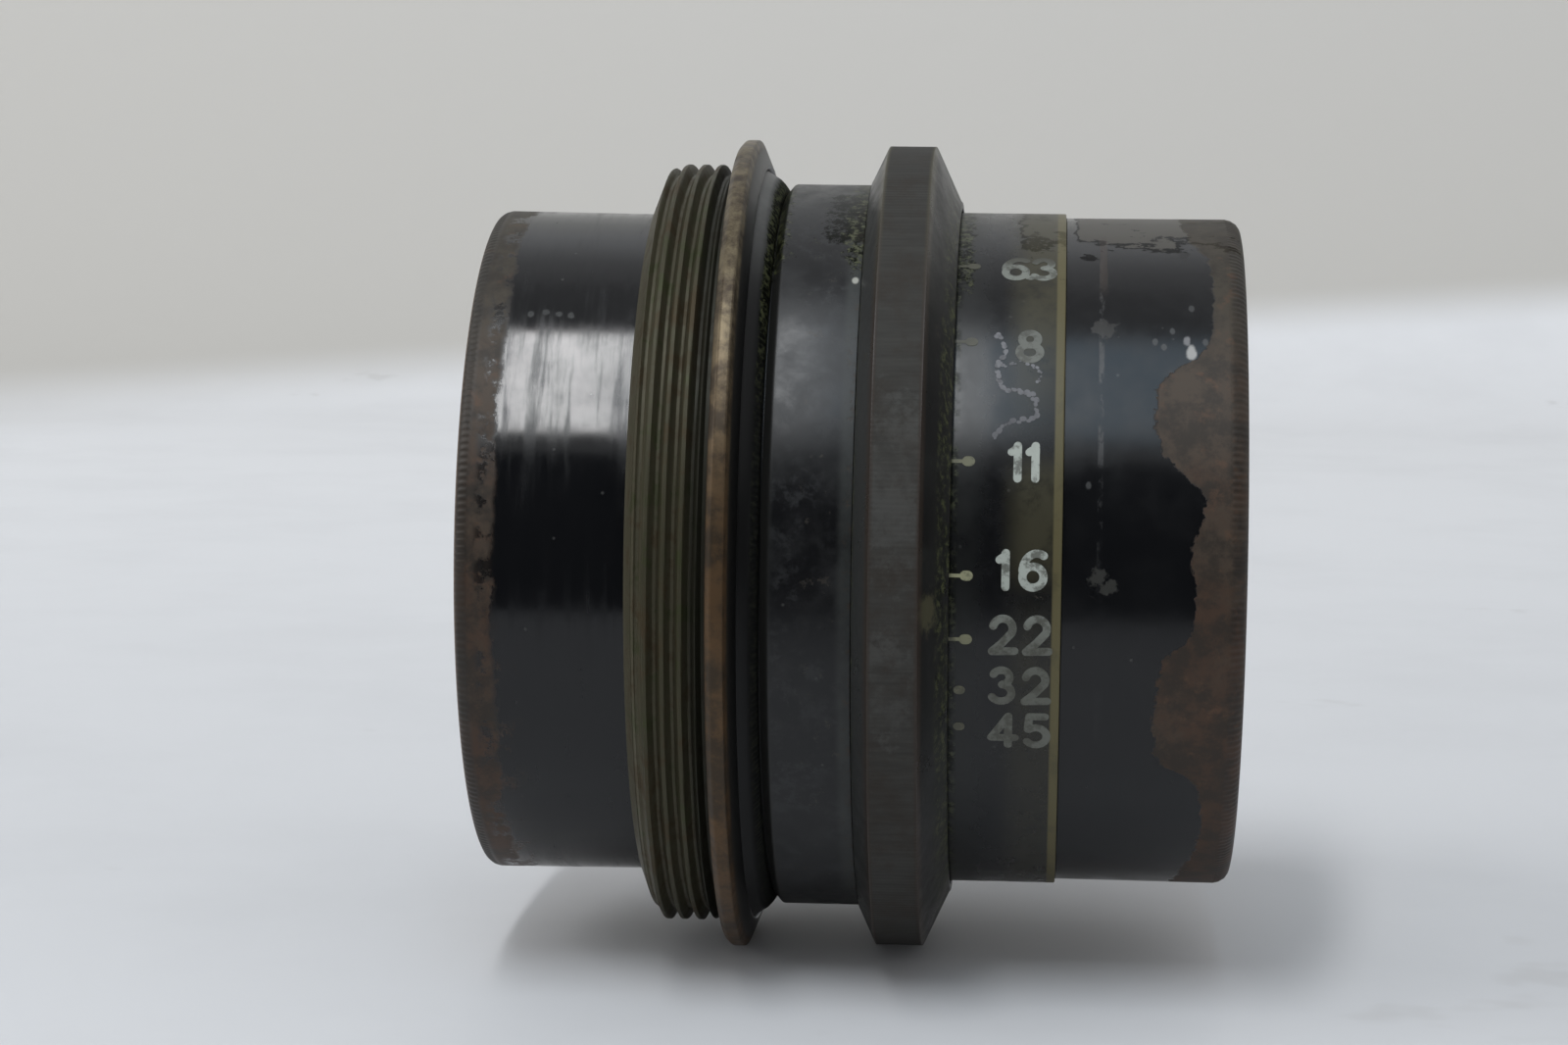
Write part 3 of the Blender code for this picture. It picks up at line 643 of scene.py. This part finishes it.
def plain_metal(name, colour, roughness, grain=(1.0, 0.05, 0.05)):
    s = Shader(name)
    lines = s.noise(6.0, 3.0, 0.6, stretch=grain)
    shade = s.blend(s.noise(0.7, 4.0, 0.6).ramp(0.3, 0.7), colour, tuple(0.7 * part for part in colour))
    return s.finish(shade, lines.ramp(0.3, 0.7, roughness - 0.06, roughness + 0.08), 1.0,
                    s.bump(lines, 0.006))


def matt_black(name):
    s = Shader(name)
    dust = s.noise(2.0, 6.0, 0.75)
    colour = s.blend(dust.ramp(0.55, 0.75), (0.010, 0.010, 0.010), (0.05, 0.048, 0.045))
    return s.finish(colour, dust.ramp(0.3, 0.7, 0.48, 0.66), 0.0, s.bump(dust, 0.01))


def glass(name, index):
    s = Shader(name)
    smears = s.noise(0.25, 6.0, 0.7).ramp(0.5, 0.8, 0.0, 0.035)
    return s.finish((0.97, 0.985, 0.98), smears, IOR=index, Transmission_Weight=1.0)


def scale_paint(name, bright, dim, strengths):
    """Old paint in the engraving.  strengths are (angle, how much paint is left) points."""
    s = Shader(name)
    worn = s.noise(1.1, 5.0, 0.75, 2.0)
    strength = s.curve(s.angle, strengths) * worn.ramp(0.40, 0.55, 0.25, 1.0)
    return s.finish(s.blend(strength, dim, bright), 0.5, 0.0, s.bump(worn, 0.008, 0.4))


rear_lacquer = lacquer("rear_cell_lacquer", rear_wear, rear_stains, 0.11, streaks=0.14)
barrel_lacquer = lacquer("main_barrel_lacquer", barrel_wear, barrel_stains, 0.28, haze=0.36)
scale_lacquer = lacquer("scale_barrel_lacquer", scale_wear, scale_stains, 0.19, haze=0.16)
front_lacquer = lacquer("front_cell_lacquer", front_wear, front_stains, 0.17, haze=0.08)
mount_brass = thread_brass()
bronze = ring_bronze()
cell_black = matt_black("cell_black")
numeral_paint = scale_paint("numeral_paint", (0.36, 0.39, 0.35), (0.042, 0.041, 0.030), [
    (-60.0, 0.15), (-23.0, 0.20), (-16.0, 0.16), (-7.0, 0.28), (-2.0, 0.60), (3.0, 0.95), (20.0, 1.0),
    (30.0, 0.35), (41.0, 0.22), (50.0, 0.25), (56.0, 0.42), (59.8, 0.42), (61.6, 0.05), (80.0, 0.0)])
mark_paint = scale_paint("mark_paint", (0.34, 0.34, 0.20), (0.055, 0.053, 0.036), [
    (-60.0, 0.1), (-23.0, 0.12), (-16.0, 0.20), (-8.0, 0.40), (2.0, 0.75), (20.0, 0.36), (41.0, 0.05),
    (60.0, 0.05), (80.0, 0.2)])
scrape_finish = scale_paint("scrape_finish", (0.15, 0.15, 0.16), (0.05, 0.05, 0.055), [
    (0.0, 0.4), (30.0, 0.5), (38.0, 1.0), (60.0, 0.3)])
screw_steel = plain_metal("screw_steel", (0.30, 0.28, 0.25), 0.3)
cam_brass = plain_metal("cam_brass", (0.50, 0.36, 0.13), 0.3)
leaf_steel = plain_metal("leaf_steel", (0.055, 0.058, 0.068), 0.34, grain=(1.0, 1.0, 1.0))


# ---- milled edges and thread
def knurl(teeth, depth):
    """A milled edge: grooves across the rim, a little uneven in depth."""
    def relief(station, angles):
        wave = 0.5 + 0.5 * np.cos(angles * teeth)
        uneven = 0.85 + 0.15 * np.sin(angles * 7.0 + 1.0) * np.sin(angles * 17.0)
        return -depth * wave * uneven
    return relief


def thread_relief(station, angles):
    """Height of the mount thread's rounded V above the plain outline, following its helix."""
    turn = (station - THREAD_FIRST_CREST) / THREAD_PITCH - angles / math.tau
    wave = 0.5 + 0.5 * np.cos(math.tau * turn)
    rounded = np.clip(wave * 1.25 - 0.1, 0.0, 1.0)
    first = THREAD_FIRST_CREST - 0.2
    fade = np.clip((station - first) / 0.9, 0.0, 1.0) * np.clip((THREAD_END - station) / 0.5, 0.0, 1.0)
    return THREAD_DEPTH * rounded * fade


def plain_rings(sides, *places, relief=None):
    return [Ring(station, radius, sides, relief) for station, radius in places]


def milled_rings(sides, relief, *places):
    return plain_rings(sides, *places, relief=relief)


# ---- pieces
def make_rear_cell():
    sides = CELL_TEETH
    fine = CELL_TEETH * KNURL_SAMPLES
    edge = REAR_RADIUS
    spigot = 18.6
    bore = 15.5
    bore_thread_depth = 0.07
    rings = plain_rings(sides, (0.0, bore + 0.4), (0.0, edge - 0.9))
    rings += plain_rings(fine, (0.0, edge - 0.62))
    rings += milled_rings(fine, knurl(CELL_TEETH, 0.06), (0.03, edge - 0.45), (0.14, edge - 0.22),
                          (0.34, edge - 0.07), (0.6, edge))
    rings += plain_rings(fine, (0.72, edge)) + plain_rings(sides, (0.9, edge))
    rings += outline_rings([
        (REAR_SHOULDER, edge, 0.08), (REAR_SHOULDER, spigot, 0), (REAR_SPIGOT_END, spigot, 0.1),
        (REAR_SPIGOT_END, 15.0, 0.1), (10.75, 14.2, 0.1), (10.75, bore, 0)], sides)
    for step in range(14):
        rings.append(Ring(2.9 - step * 0.18, bore + step % 2 * bore_thread_depth, sides))
    rings.append(Ring(0.35, bore, sides))
    return turned_piece("rear_cell_shell", rings, rear_lacquer)


def make_mount_flange():
    root = THREAD_RADIUS - THREAD_DEPTH
    teeth = 360
    sides = teeth
    fine = teeth * KNURL_SAMPLES
    lip_bore = 19.8
    core_bore = 20.7
    rings = outline_rings([(THREAD_LIP, lip_bore, 0), (THREAD_LIP, lip_bore + 0.55, 0.12),
                           (THREAD_LIP + 0.55, root - 0.1, 0.1)], sides)
    start = THREAD_LIP + 0.72
    steps = round((THREAD_END - start) / 0.055)
    for step in range(steps + 1):
        station = start + (THREAD_END - start) * step / steps
        rings.append(Ring(station, root, sides, thread_relief))
    seat = SEAT_STATION
    rings += outline_rings([
        (seat + SEAT_UNDERCUT, root, 0.1), (seat + SEAT_UNDERCUT, SEAT_INNER_RADIUS, 0.05),
        (seat, SEAT_INNER_RADIUS, 0.05), (seat, FLANGE_RADIUS - 0.34, 0.12),
        (seat + 0.32, FLANGE_RADIUS, 0.12), (15.3, FLANGE_RADIUS, 0.1),
        (16.0, FLANGE_RADIUS - 1.7, 0.3)], sides)
    foot = CONE_FOOT_RADIUS
    rings += plain_rings(sides, (16.5, foot + 0.76)) + plain_rings(fine, (16.62, foot + 0.63))
    rings += milled_rings(fine, knurl(teeth, 0.13), (16.72, foot + 0.53), (16.9, foot + 0.28),
                          (CONE_END - 0.02, foot + 0.03))
    rings += plain_rings(fine, (CONE_END, foot - 0.15)) + plain_rings(sides, (CONE_END, foot - 0.2))
    rings += outline_rings([(CONE_END, core_bore, 0), (9.95, core_bore, 0), (9.95, lip_bore, 0)], sides)
    return turned_piece("mount_flange_threaded", rings, mount_brass)


def slot_tool(first_angle, last_angle, start, end, inner, outer):
    """A curved block between two angles, two stations and two radii."""
    steps = 24
    points = []
    for step in range(steps + 1):
        angle = first_angle + (last_angle - first_angle) * step / steps
        points += [on_lens(station, radius, angle) for station, radius in
                   ((start, inner), (end, inner), (end, outer), (start, outer))]
    faces = [[0, 1, 2, 3], [4 * steps + corner for corner in (3, 2, 1, 0)]]
    for step in range(steps):
        for corner in range(4):
            after = (corner + 1) % 4
            faces.append([4 * step + corner, 4 * step + after, 4 * step + 4 + after,
                          4 * step + 4 + corner])
    return new_piece("slot_tool", points, faces, None)


def make_main_barrel():
    foot = BARREL_SHOULDER - 0.05
    rings = outline_rings([
        (CORE_START, 18.85, 0), (CORE_START, 20.5, 0.1), (foot, 20.5, 0),
        (foot, CONE_FOOT_RADIUS - 0.05, 0.05), (BARREL_SHOULDER + 0.38, BARREL_RADIUS, 0.12),
        (RING_SEAT_START, BARREL_RADIUS, 0.03), (RING_SEAT_START, RING_SEAT_RADIUS, 0),
        (BARREL_END, RING_SEAT_RADIUS, 0.1), (BARREL_END, 19.7, 0.1), (19.95, 19.7, 0),
        (19.95, 18.3, 0.1), (13.6, 18.3, 0), (13.6, 18.85, 0)])
    barrel = turned_piece("main_barrel_shell", rings, barrel_lacquer)
    cut(barrel, slot_tool(SCREW_ANGLE + SCREW_SWEEP[0], SCREW_ANGLE + SCREW_SWEEP[1],
                          SCREW_STATION - 0.65, SCREW_STATION + 0.65, 18.7, 21.8))
    return barrel


def screw_rod(name, inner, outer, radius, sides=32, finish=None):
    """A closed rod along the drive screw's axis, between two distances from the lens's axis."""
    mesh = bmesh.new()
    middle = Vector((SCREW_STATION, -(inner + outer) / 2, 0)) * MM
    place = (Matrix.Rotation(-math.radians(SCREW_ANGLE), 4, "X") @ Matrix.Translation(middle)
             @ Matrix.Rotation(math.radians(90), 4, "X"))
    bmesh.ops.create_cone(mesh, cap_ends=True, segments=sides, radius1=radius * MM, radius2=radius * MM,
                          depth=(outer - inner) * MM, matrix=place)
    data = bpy.data.meshes.new(name)
    mesh.to_mesh(data)
    mesh.free()
    return link_piece(name, data, finish)


def make_iris_ring():
    teeth = 500
    sides = teeth
    fine = teeth * KNURL_SAMPLES
    bore = 21.0
    shoulder = RING_RADIUS - 0.17
    corner = RING_RADIUS - 0.09
    rings = outline_rings([(RING_START, bore, 0.08), (RING_START, bore + 0.72, 0.05)], sides)
    rings += plain_rings(sides, (LAND_START - 0.09, shoulder))
    rings += plain_rings(fine, (LAND_START - 0.05, corner))
    rings += milled_rings(fine, knurl(teeth, 0.012), (LAND_START, RING_RADIUS), (LAND_END, RING_RADIUS))
    rings += plain_rings(fine, (LAND_END + 0.05, corner)) + plain_rings(sides, (LAND_END + 0.09, shoulder))
    rings += outline_rings([
        (RING_END, 20.45, 0.12), (RING_END, 20.1, 0.05), (26.55, 20.1, 0), (26.55, bore, 0)], sides)
    ring = turned_piece("iris_ring_milled", rings, bronze)
    cut(ring, screw_rod("hole_tool", 20.0, 22.9, 0.65))
    cut(ring, screw_rod("recess_tool", 22.7, 25.0, 0.92))
    return ring


def make_drive_screw():
    screw = screw_rod("drive_screw_slotted", 22.9, 23.55, 0.74, 40, screw_steel)
    cut(screw, slot_tool(SCREW_ANGLE - 0.35, SCREW_ANGLE + 0.35, SCREW_STATION - 1.5, SCREW_STATION + 1.5,
                         23.25, 24.0))
    return screw


def make_scale_barrel():
    rings = outline_rings([
        (SCALE_START, 17.2, 0), (SCALE_START, 19.45, 0.1), (SCALE_BODY_START, 19.45, 0),
        (SCALE_BODY_START, SCALE_RADIUS, 0.05), (SCALE_END - 0.02, SCALE_RADIUS, 0.07),
        (SCALE_END - 0.02, 18.5, 0), (28.0, 18.5, 0), (28.0, 17.2, 0)])
    return turned_piece("scale_barrel_shell", rings, scale_lacquer)


def make_front_cell():
    sides = CELL_TEETH
    fine = CELL_TEETH * KNURL_SAMPLES
    edge = FRONT_RADIUS
    mouth = 17.9
    bore = 16.3
    rings = outline_rings([
        (FRONT_SPIGOT_START, 15.3, 0.1), (FRONT_SPIGOT_START, 18.25, 0.1), (FRONT_SHOULDER, 18.25, 0),
        (FRONT_SHOULDER, edge, 0.06)], sides)
    rings += plain_rings(sides, (LENGTH - 1.1, edge)) + plain_rings(fine, (LENGTH - 0.95, edge))
    rings += milled_rings(fine, knurl(CELL_TEETH, 0.06), (LENGTH - 0.82, edge), (LENGTH - 0.5, edge - 0.08),
                          (LENGTH - 0.2, edge - 0.27), (LENGTH - 0.04, edge - 0.5))
    rings += plain_rings(fine, (LENGTH, edge - 0.7))
    rings += plain_rings(sides, (LENGTH, edge - 0.9), (LENGTH, mouth + 0.1))
    ridges = 6
    for step in range(ridges):
        station = LENGTH - 0.12 - 2.1 * step / ridges
        radius = mouth - (mouth - bore) * step / ridges
        rings += plain_rings(sides, (station, radius), (station - 0.3, radius - 0.02))
    rings += outline_rings([(41.3, bore, 0), (36.2, bore, 0), (36.2, 14.0, 0.1), (34.6, 14.0, 0.1),
                            (34.6, 15.3, 0)], sides)
    return turned_piece("front_cell_shell", rings, front_lacquer)


def make_spanner_ring(node, inner, notched_at_start):
    start, end, outer = span(node)
    rings = outline_rings([(start, inner, 0.12), (start, outer, 0.1), (end, outer, 0.1), (end, inner, 0.12)])
    ring = turned_piece(node + "_notched", rings, cell_black)
    station = start if notched_at_start else end
    for angle in (90.0, -90.0):
        cut(ring, slot_tool(angle - 3.0, angle + 3.0, station - 0.45, station + 0.45, inner - 1, outer + 1))
    return ring


# Each glass's rear and front curve, the stations of its rear and front rim, and its refractive index
GLASS_CURVES = {
    "front_element": (300.0, -50.0, 36.5, 38.8, 1.61),
    "second_element": (-45.0, 90.0, 29.9, 34.3, 1.58),
    "rear_crown_element": (45.0, -50.0, 5.0, 6.2, 1.61),
    "rear_flint_element": (-50.0, 150.0, 6.3, 10.4, 1.55),
}


def sag(radius, curve):
    """How far a sphere of radius `curve` has left its flat tangent at a distance from the axis."""
    return curve - math.copysign(math.sqrt(curve * curve - radius * radius), curve)


def make_glass(node):
    rear_curve, front_curve, rear_rim, front_rim, index = GLASS_CURVES[node]
    rim = span(node)[2]
    steps = 14
    sides = 128
    radii = [max(rim * step / steps, 0.02) for step in range(steps + 1)]
    rear, front = ([Ring(station - sag(rim, curve) + sag(radius, curve), radius, sides) for radius in radii]
                   for station, curve in ((rear_rim, rear_curve), (front_rim, front_curve)))
    return turned_piece(node + "_polished", rear + front[::-1], glass(node + "_glass", index), closed=False)


# ---- engraved numerals
def arc(centre_x, centre_y, radius_x, radius_y, first, last, steps=14):
    """Points along an ellipse, from one angle to another in degrees."""
    turns = np.radians(np.linspace(first, last, steps))
    return [(centre_x + radius_x * math.cos(turn), centre_y + radius_y * math.sin(turn)) for turn in turns]


# Each digit is a list of strokes in a box one unit high and 0.7 wide, measured on the stroke's middle
DIGITS = {
    "1": [[(0.12, 0.80), (0.26, 0.90), (0.30, 1.0)], [(0.30, 1.0), (0.30, 0.0)]],
    "2": [arc(0.33, 0.70, 0.29, 0.30, 165, -25) + [(0.30, 0.25), (0.02, 0.0)], [(0.02, 0.0), (0.68, 0.02)]],
    "3": [arc(0.32, 0.77, 0.25, 0.23, 155, -80), arc(0.32, 0.27, 0.31, 0.27, 85, -150)],
    "4": [[(0.50, 0.0), (0.50, 1.0)], [(0.50, 1.0), (0.0, 0.25)], [(0.0, 0.25), (0.70, 0.25)]],
    "5": [[(0.58, 1.0), (0.12, 1.0)], [(0.12, 1.0), (0.08, 0.56)], arc(0.32, 0.31, 0.32, 0.31, 130, -145)],
    "6": [arc(0.34, 0.31, 0.31, 0.31, 0, 360, 26), arc(0.45, 0.45, 0.42, 0.55, 175, 62)],
    "8": [arc(0.33, 0.76, 0.24, 0.24, 0, 360, 22), arc(0.33, 0.27, 0.31, 0.27, 0, 360, 26)],
    ".": [[(0.06, 0.02), (0.10, 0.02)]],
}
NUMERAL_HEIGHT = 1.86       # on the middle of the strokes
NUMERAL_STROKE = 0.45
ADVANCE = 1.86              # from one digit's left side to the next one's
NARROW_ADVANCE = {"11": 0.97, "16": 1.42, "6.": 1.30, ".3": 0.28}
PAINT_RISE = 0.012
PAINT_STEP = 0.2            # longest straight stretch that is laid on the round barrel
ROUND_END_TURNS = (25, 55, 80)


def fine_path(path):
    """The path's points with more between them, so that none stands further apart than PAINT_STEP."""
    points = [np.array(path[0], float)]
    for target in path[1:]:
        start = points[-1]
        target = np.array(target, float)
        steps = max(1, math.ceil(np.linalg.norm(target - start) / PAINT_STEP))
        points += [start + (target - start) * step / steps for step in range(1, steps + 1)]
    return points


def stroke_outline(path, width):
    """The left and right side of a stroke with half-round ends, as pairs of points."""
    path = fine_path(path)
    pairs = []
    last = len(path) - 1
    for index, point in enumerate(path):
        ahead = path[min(index + 1, last)] - path[max(index - 1, 0)]
        ahead *= width / 2 / np.linalg.norm(ahead)
        normal = np.array((-ahead[1], ahead[0]))
        turns = [0]
        if index == 0:
            turns = [-turn for turn in ROUND_END_TURNS[::-1]] + turns
        if index == last:
            turns += ROUND_END_TURNS
        for turn in turns:
            middle = point + ahead * math.sin(math.radians(turn))
            side = normal * math.cos(math.radians(turn))
            pairs.append((middle + side, middle - side))
    return pairs


def wrap_strokes(name, strokes, radius, finish):
    """Painted strokes on a barrel.  A stroke is (path in mm, width); a path runs along and around."""
    points = []
    faces = []
    for number, (path, width) in enumerate(strokes):
        pairs = stroke_outline(path, width)
        rise = PAINT_RISE + 0.0015 * (number % 4)
        base = len(points)
        for left, right in pairs:
            for along, around in (left, right):
                for level in (rise, -0.05):
                    points.append(on_lens(along, radius + level, math.degrees(around / radius)))
        for index in range(len(pairs) - 1):
            near = base + 4 * index
            far = near + 4
            faces += [[near, near + 2, far + 2, far], [near + 1, far + 1, far + 3, near + 3],
                      [near, far, far + 1, near + 1], [near + 2, near + 3, far + 3, far + 2]]
        last = base + 4 * (len(pairs) - 1)
        faces += [[base, base + 1, base + 3, base + 2], [last, last + 2, last + 3, last + 1]]
    return new_piece(name, points, faces, finish)


def numeral_strokes(text, centre, angle):
    """Strokes of a number whose middle is at a station and an angle on the scale barrel."""
    starts = [0.0]
    for first, second in zip(text, text[1:]):
        starts.append(starts[-1] + NARROW_ADVANCE.get(first + second, ADVANCE))
    placed = []
    for letter, start in zip(text, starts):
        for path in DIGITS[letter]:
            placed.append([(start + x * NUMERAL_HEIGHT, (y - 0.5) * NUMERAL_HEIGHT) for x, y in path])
    low = min(x for path in placed for x, _ in path)
    high = max(x for path in placed for x, _ in path)
    along = centre - (low + high) / 2
    around = math.radians(angle) * SCALE_RADIUS
    return [([(along + x, around + y) for x, y in path], NUMERAL_STROKE) for path in placed]


# Where each stop's mark and its hand-stamped number stand, in degrees above the camera's line of sight
STOPS = {"6.3": (53.0, 52.5), "8": (34.9, 34.2), "11": (13.6, 13.6), "16": (-4.6, -3.6),
         "22": (-14.8, -14.0), "32": (-23.4, -22.5), "45": (-30.0, -30.6)}
DOT_ONLY = ("32", "45")
STAMPED_OFF = {"6.3": 0.12, "8": 0.23}


def make_numerals():
    strokes = []
    for text, (_, seen_at) in STOPS.items():
        station = NUMERAL_STATION + STAMPED_OFF.get(text, 0.0)
        strokes += numeral_strokes(text, station, seen_at + CAMERA_ELEVATION)
    return wrap_strokes("aperture_numerals", strokes, SCALE_RADIUS, numeral_paint)


def make_stop_marks():
    """A dash with a fat round end for each stop, or only a dot for the smallest ones."""
    strokes = []
    for text, (seen_at, _) in STOPS.items():
        around = math.radians(seen_at + CAMERA_ELEVATION) * SCALE_RADIUS
        if text in DOT_ONLY:
            strokes.append(([(27.92, around), (28.06, around)], 0.5))
        else:
            strokes.append(([(27.35, around), (28.3, around)], 0.20))
            strokes.append(([(28.22, around), (28.38, around)], 0.56))
    return wrap_strokes("stop_marks", strokes, SCALE_RADIUS, mark_paint)


def smooth_path(points, steps):
    """A smooth line through points, by Catmull and Rom's cubic."""
    points = [np.array(point, float) for point in points]
    ends = [points[0]] + points + [points[-1]]
    path = []
    for before, start, end, after in zip(ends, ends[1:], ends[2:], ends[3:]):
        square = 2 * before - 5 * start + 4 * end - after
        cube = 3 * start - before - 3 * end + after
        for t in np.linspace(0, 1, steps, endpoint=False):
            path.append(0.5 * (2 * start + (end - before) * t + square * t ** 2 + cube * t ** 3))
    return path + [points[-1]]


def make_scrape():
    """A pale scrape that wanders over the scale barrel above the 11, and a loop beside it, in dabs."""
    scrape = [(29.7, 43.6), (30.2, 40.2), (29.75, 37.2), (30.05, 33.4), (31.0, 32.6), (31.8, 31.6),
              (31.85, 28.0), (30.5, 27.2), (29.6, 24.6)]
    loop = [(29.9, 37.0), (31.2, 38.0), (32.1, 36.4), (32.0, 34.4)]
    strokes = []
    number = 0
    for turns, largest in ((scrape, 0.32), (loop, 0.18)):
        path = smooth_path([(station, math.radians(angle) * SCALE_RADIUS) for station, angle in turns], 9)
        for start, end in zip(path, path[1:]):
            number += 1
            if number % 5 == 0:     # gaps
                continue
            drift = np.array((math.sin(number * 2.3), math.cos(number * 1.7))) * 0.09
            width = largest * (0.35 + 0.65 * math.sin(number * 2.1) ** 2)
            strokes.append(([start + drift, start + drift + (end - start) * 0.45], width))
    return wrap_strokes("pale_scrape", strokes, SCALE_RADIUS, scrape_finish)


# ---- assembly
def place_piece(piece, body, slot, *nodes):
    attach(piece, body)
    if nodes:
        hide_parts(*nodes)


BARREL_BODY = "lens_barrel"
RING_BODY = "aperture_ring"
for node, make, slot in (("rear_cell", make_rear_cell, "black_lacquer"),
                         ("mount_flange", make_mount_flange, "mount_brass"),
                         ("main_barrel", make_main_barrel, "black_lacquer"),
                         ("scale_barrel", make_scale_barrel, "black_lacquer"),
                         ("front_cell", make_front_cell, "black_lacquer")):
    place_piece(make(), BARREL_BODY, slot, node)
place_piece(make_iris_ring(), RING_BODY, "ring_bronze", "iris_ring")
place_piece(make_drive_screw(), RING_BODY, "screw_steel", "drive_screw")
for node, inner, notched_at_start in (("front_retaining_ring", 14.6, False),
                                      ("second_retaining_ring", 14.0, True),
                                      ("rear_retaining_ring", 14.0, True)):
    place_piece(make_spanner_ring(node, inner, notched_at_start), BARREL_BODY, "matt_black", node)
for node in GLASS_CURVES:
    place_piece(make_glass(node), BARREL_BODY, "glass", node)
for make in (make_numerals, make_stop_marks, make_scrape):
    place_piece(make(), BARREL_BODY, "black_lacquer")

# The CAD's own pieces that stay in view: the leaves and the parts round them
for name, node in frame["nodes"].items():
    finish = cell_black
    if name.startswith("leaf"):
        finish = leaf_steel
    elif name == "cam_ring":
        finish = cam_brass
    node.data.materials.clear()
    node.data.materials.append(finish)


# ---- stage
WALL_PLACE = 0.46           # how far behind the lens the backdrop stands, in metres


def make_floor():
    """A pale table that curves up into a backdrop, with a soft edge where the table ends.  The table is
    painted darker in front of the lens and lighter to the back as painted shade, and the backdrop lighter
    towards the top as painted light.
    """
    size = 3.0
    rise = 1.6
    bend = 0.12
    foot = WALL_PLACE - bend
    profile = [(-size, 0.0), (foot, 0.0)]
    for turn in range(6, 91, 6):
        angle = math.radians(turn)
        profile.append((foot + bend * math.sin(angle), bend - bend * math.cos(angle)))
    profile.append((WALL_PLACE, rise))
    points = [(x, y, z) for y, z in profile for x in (-size, size)]
    faces = [[2 * i, 2 * i + 1, 2 * i + 3, 2 * i + 2] for i in range(len(profile) - 1)]
    mesh = bpy.data.meshes.new("floor")
    mesh.from_pydata(points, [], faces)
    mesh.shade_smooth()
    s = Shader("floor_paint")
    # The table is painted darker in front of the lens and lighter towards the back: painted shade and light.
    shade = (s.noise(0.03, 5.0, 0.6).ramp(0.4, 0.7, 1.0, 0.96)
             * s.side.ramp(-150.0, -30.0, 0.75, 1.0) * s.side.ramp(0.0, 330.0, 0.86, 1.14))
    smudges = s.noise(0.035, 4.0, 0.7, 5.0).ramp(0.66, 0.74) * 0.25
    table = s.blend(smudges, s.scaled((0.75, 0.76, 0.78), shade), (0.42, 0.41, 0.40))
    # The backdrop is painted lighter towards the top: painted light.
    wall = s.blend(s.height.ramp(200.0, 600.0), (0.58, 0.566, 0.535), (0.92, 0.92, 0.92))
    edge = s.height - s.station * 0.066
    backdrop = edge.ramp(7.0, 15.0) * s.side.ramp(300.0, 330.0)
    mesh.materials.append(s.finish(s.blend(backdrop, table, wall), 0.55))
    link("floor", mesh)


def make_card():
    """A dark card that only reflections see, for the dark band on the front of the lacquer."""
    y = -0.09
    top = 0.084
    half = 1.2
    mesh = bpy.data.meshes.new("dark_card")
    mesh.from_pydata([(-half, y, 0.0), (half, y, 0.0), (half, y, top), (-half, y, top)], [], [[0, 1, 2, 3]])
    mesh.materials.append(Shader("card_black").finish((0.06, 0.06, 0.065), 0.9))
    card = link("dark_card", mesh)
    card.visible_camera = False
    card.visible_diffuse = False
    card.visible_shadow = False


def make_light(name, place, target, size, power, colour=(1.0, 1.0, 1.0)):
    data = bpy.data.lights.new(name, "AREA")
    data.shape = "RECTANGLE"
    data.size, data.size_y = size
    data.energy = power
    data.color = colour
    light = link(name, data)
    light.location = place
    light.rotation_euler = (Vector(target) - Vector(place)).to_track_quat("-Z", "Y").to_euler()
    light.visible_camera = False


def rotation(degrees, axis):
    return Matrix.Rotation(math.radians(degrees), 4, axis)


def make_camera():
    """A camera that faces the lens from CAMERA_ELEVATION above its axis, turned a little off it."""
    distance = 228.3
    station = 32.29
    yaw = -3.84
    pitch = 0.31
    roll = 1.05
    data = bpy.data.cameras.new("camera")
    data.sensor_fit = "HORIZONTAL"
    data.sensor_width = 36.0
    data.lens = 87.7725
    data.clip_start = 0.01
    elevation = rotation(-CAMERA_ELEVATION, "X")
    place = AXIS + elevation @ (Vector((station, -distance, 0.0)) * MM)
    aim = elevation @ rotation(-yaw, "Z") @ rotation(90.0 + pitch, "X") @ rotation(roll, "Z")
    camera = link("camera", data)
    camera.matrix_world = Matrix.Translation(place) @ aim
    bpy.context.scene.camera = camera


make_floor()
make_card()
make_camera()
# The lights' reflection is the bright band: 43 to 81 degrees up, and brightest to the lens's rear
make_light("key", (-0.088, -0.277, 0.552), (-0.088, 0.0, AXIS_HEIGHT), (0.05, 0.407), 1.23)
make_light("window", (-0.03, -0.277, 0.552), (-0.03, 0.0, AXIS_HEIGHT), (0.24, 0.407), 0.52,
           (0.56, 0.79, 1.0))
make_light("side", (-0.60, -0.15, 0.42), AXIS, (0.4, 0.4), 1.3)

# The room is brighter round the horizon than overhead
world = bpy.data.worlds.new("studio")
world.use_nodes = True
room = world.node_tree.nodes
background = room["Background"]
direction = room.new("ShaderNodeTexCoord").outputs["Generated"]
parts = room.new("ShaderNodeSeparateXYZ")
falloff = room.new("ShaderNodeMapRange")
for output, socket in ((direction, parts.inputs[0]), (parts.outputs[2], falloff.inputs[0]),
                       (falloff.outputs[0], background.inputs[1])):
    world.node_tree.links.new(output, socket)
falloff.inputs["To Min"].default_value = 0.96
falloff.inputs["To Max"].default_value = 0.43
background.inputs[0].default_value = (0.97, 0.98, 1.0, 1.0)
bpy.context.scene.world = world
bpy.context.scene.view_settings.view_transform = "Standard"
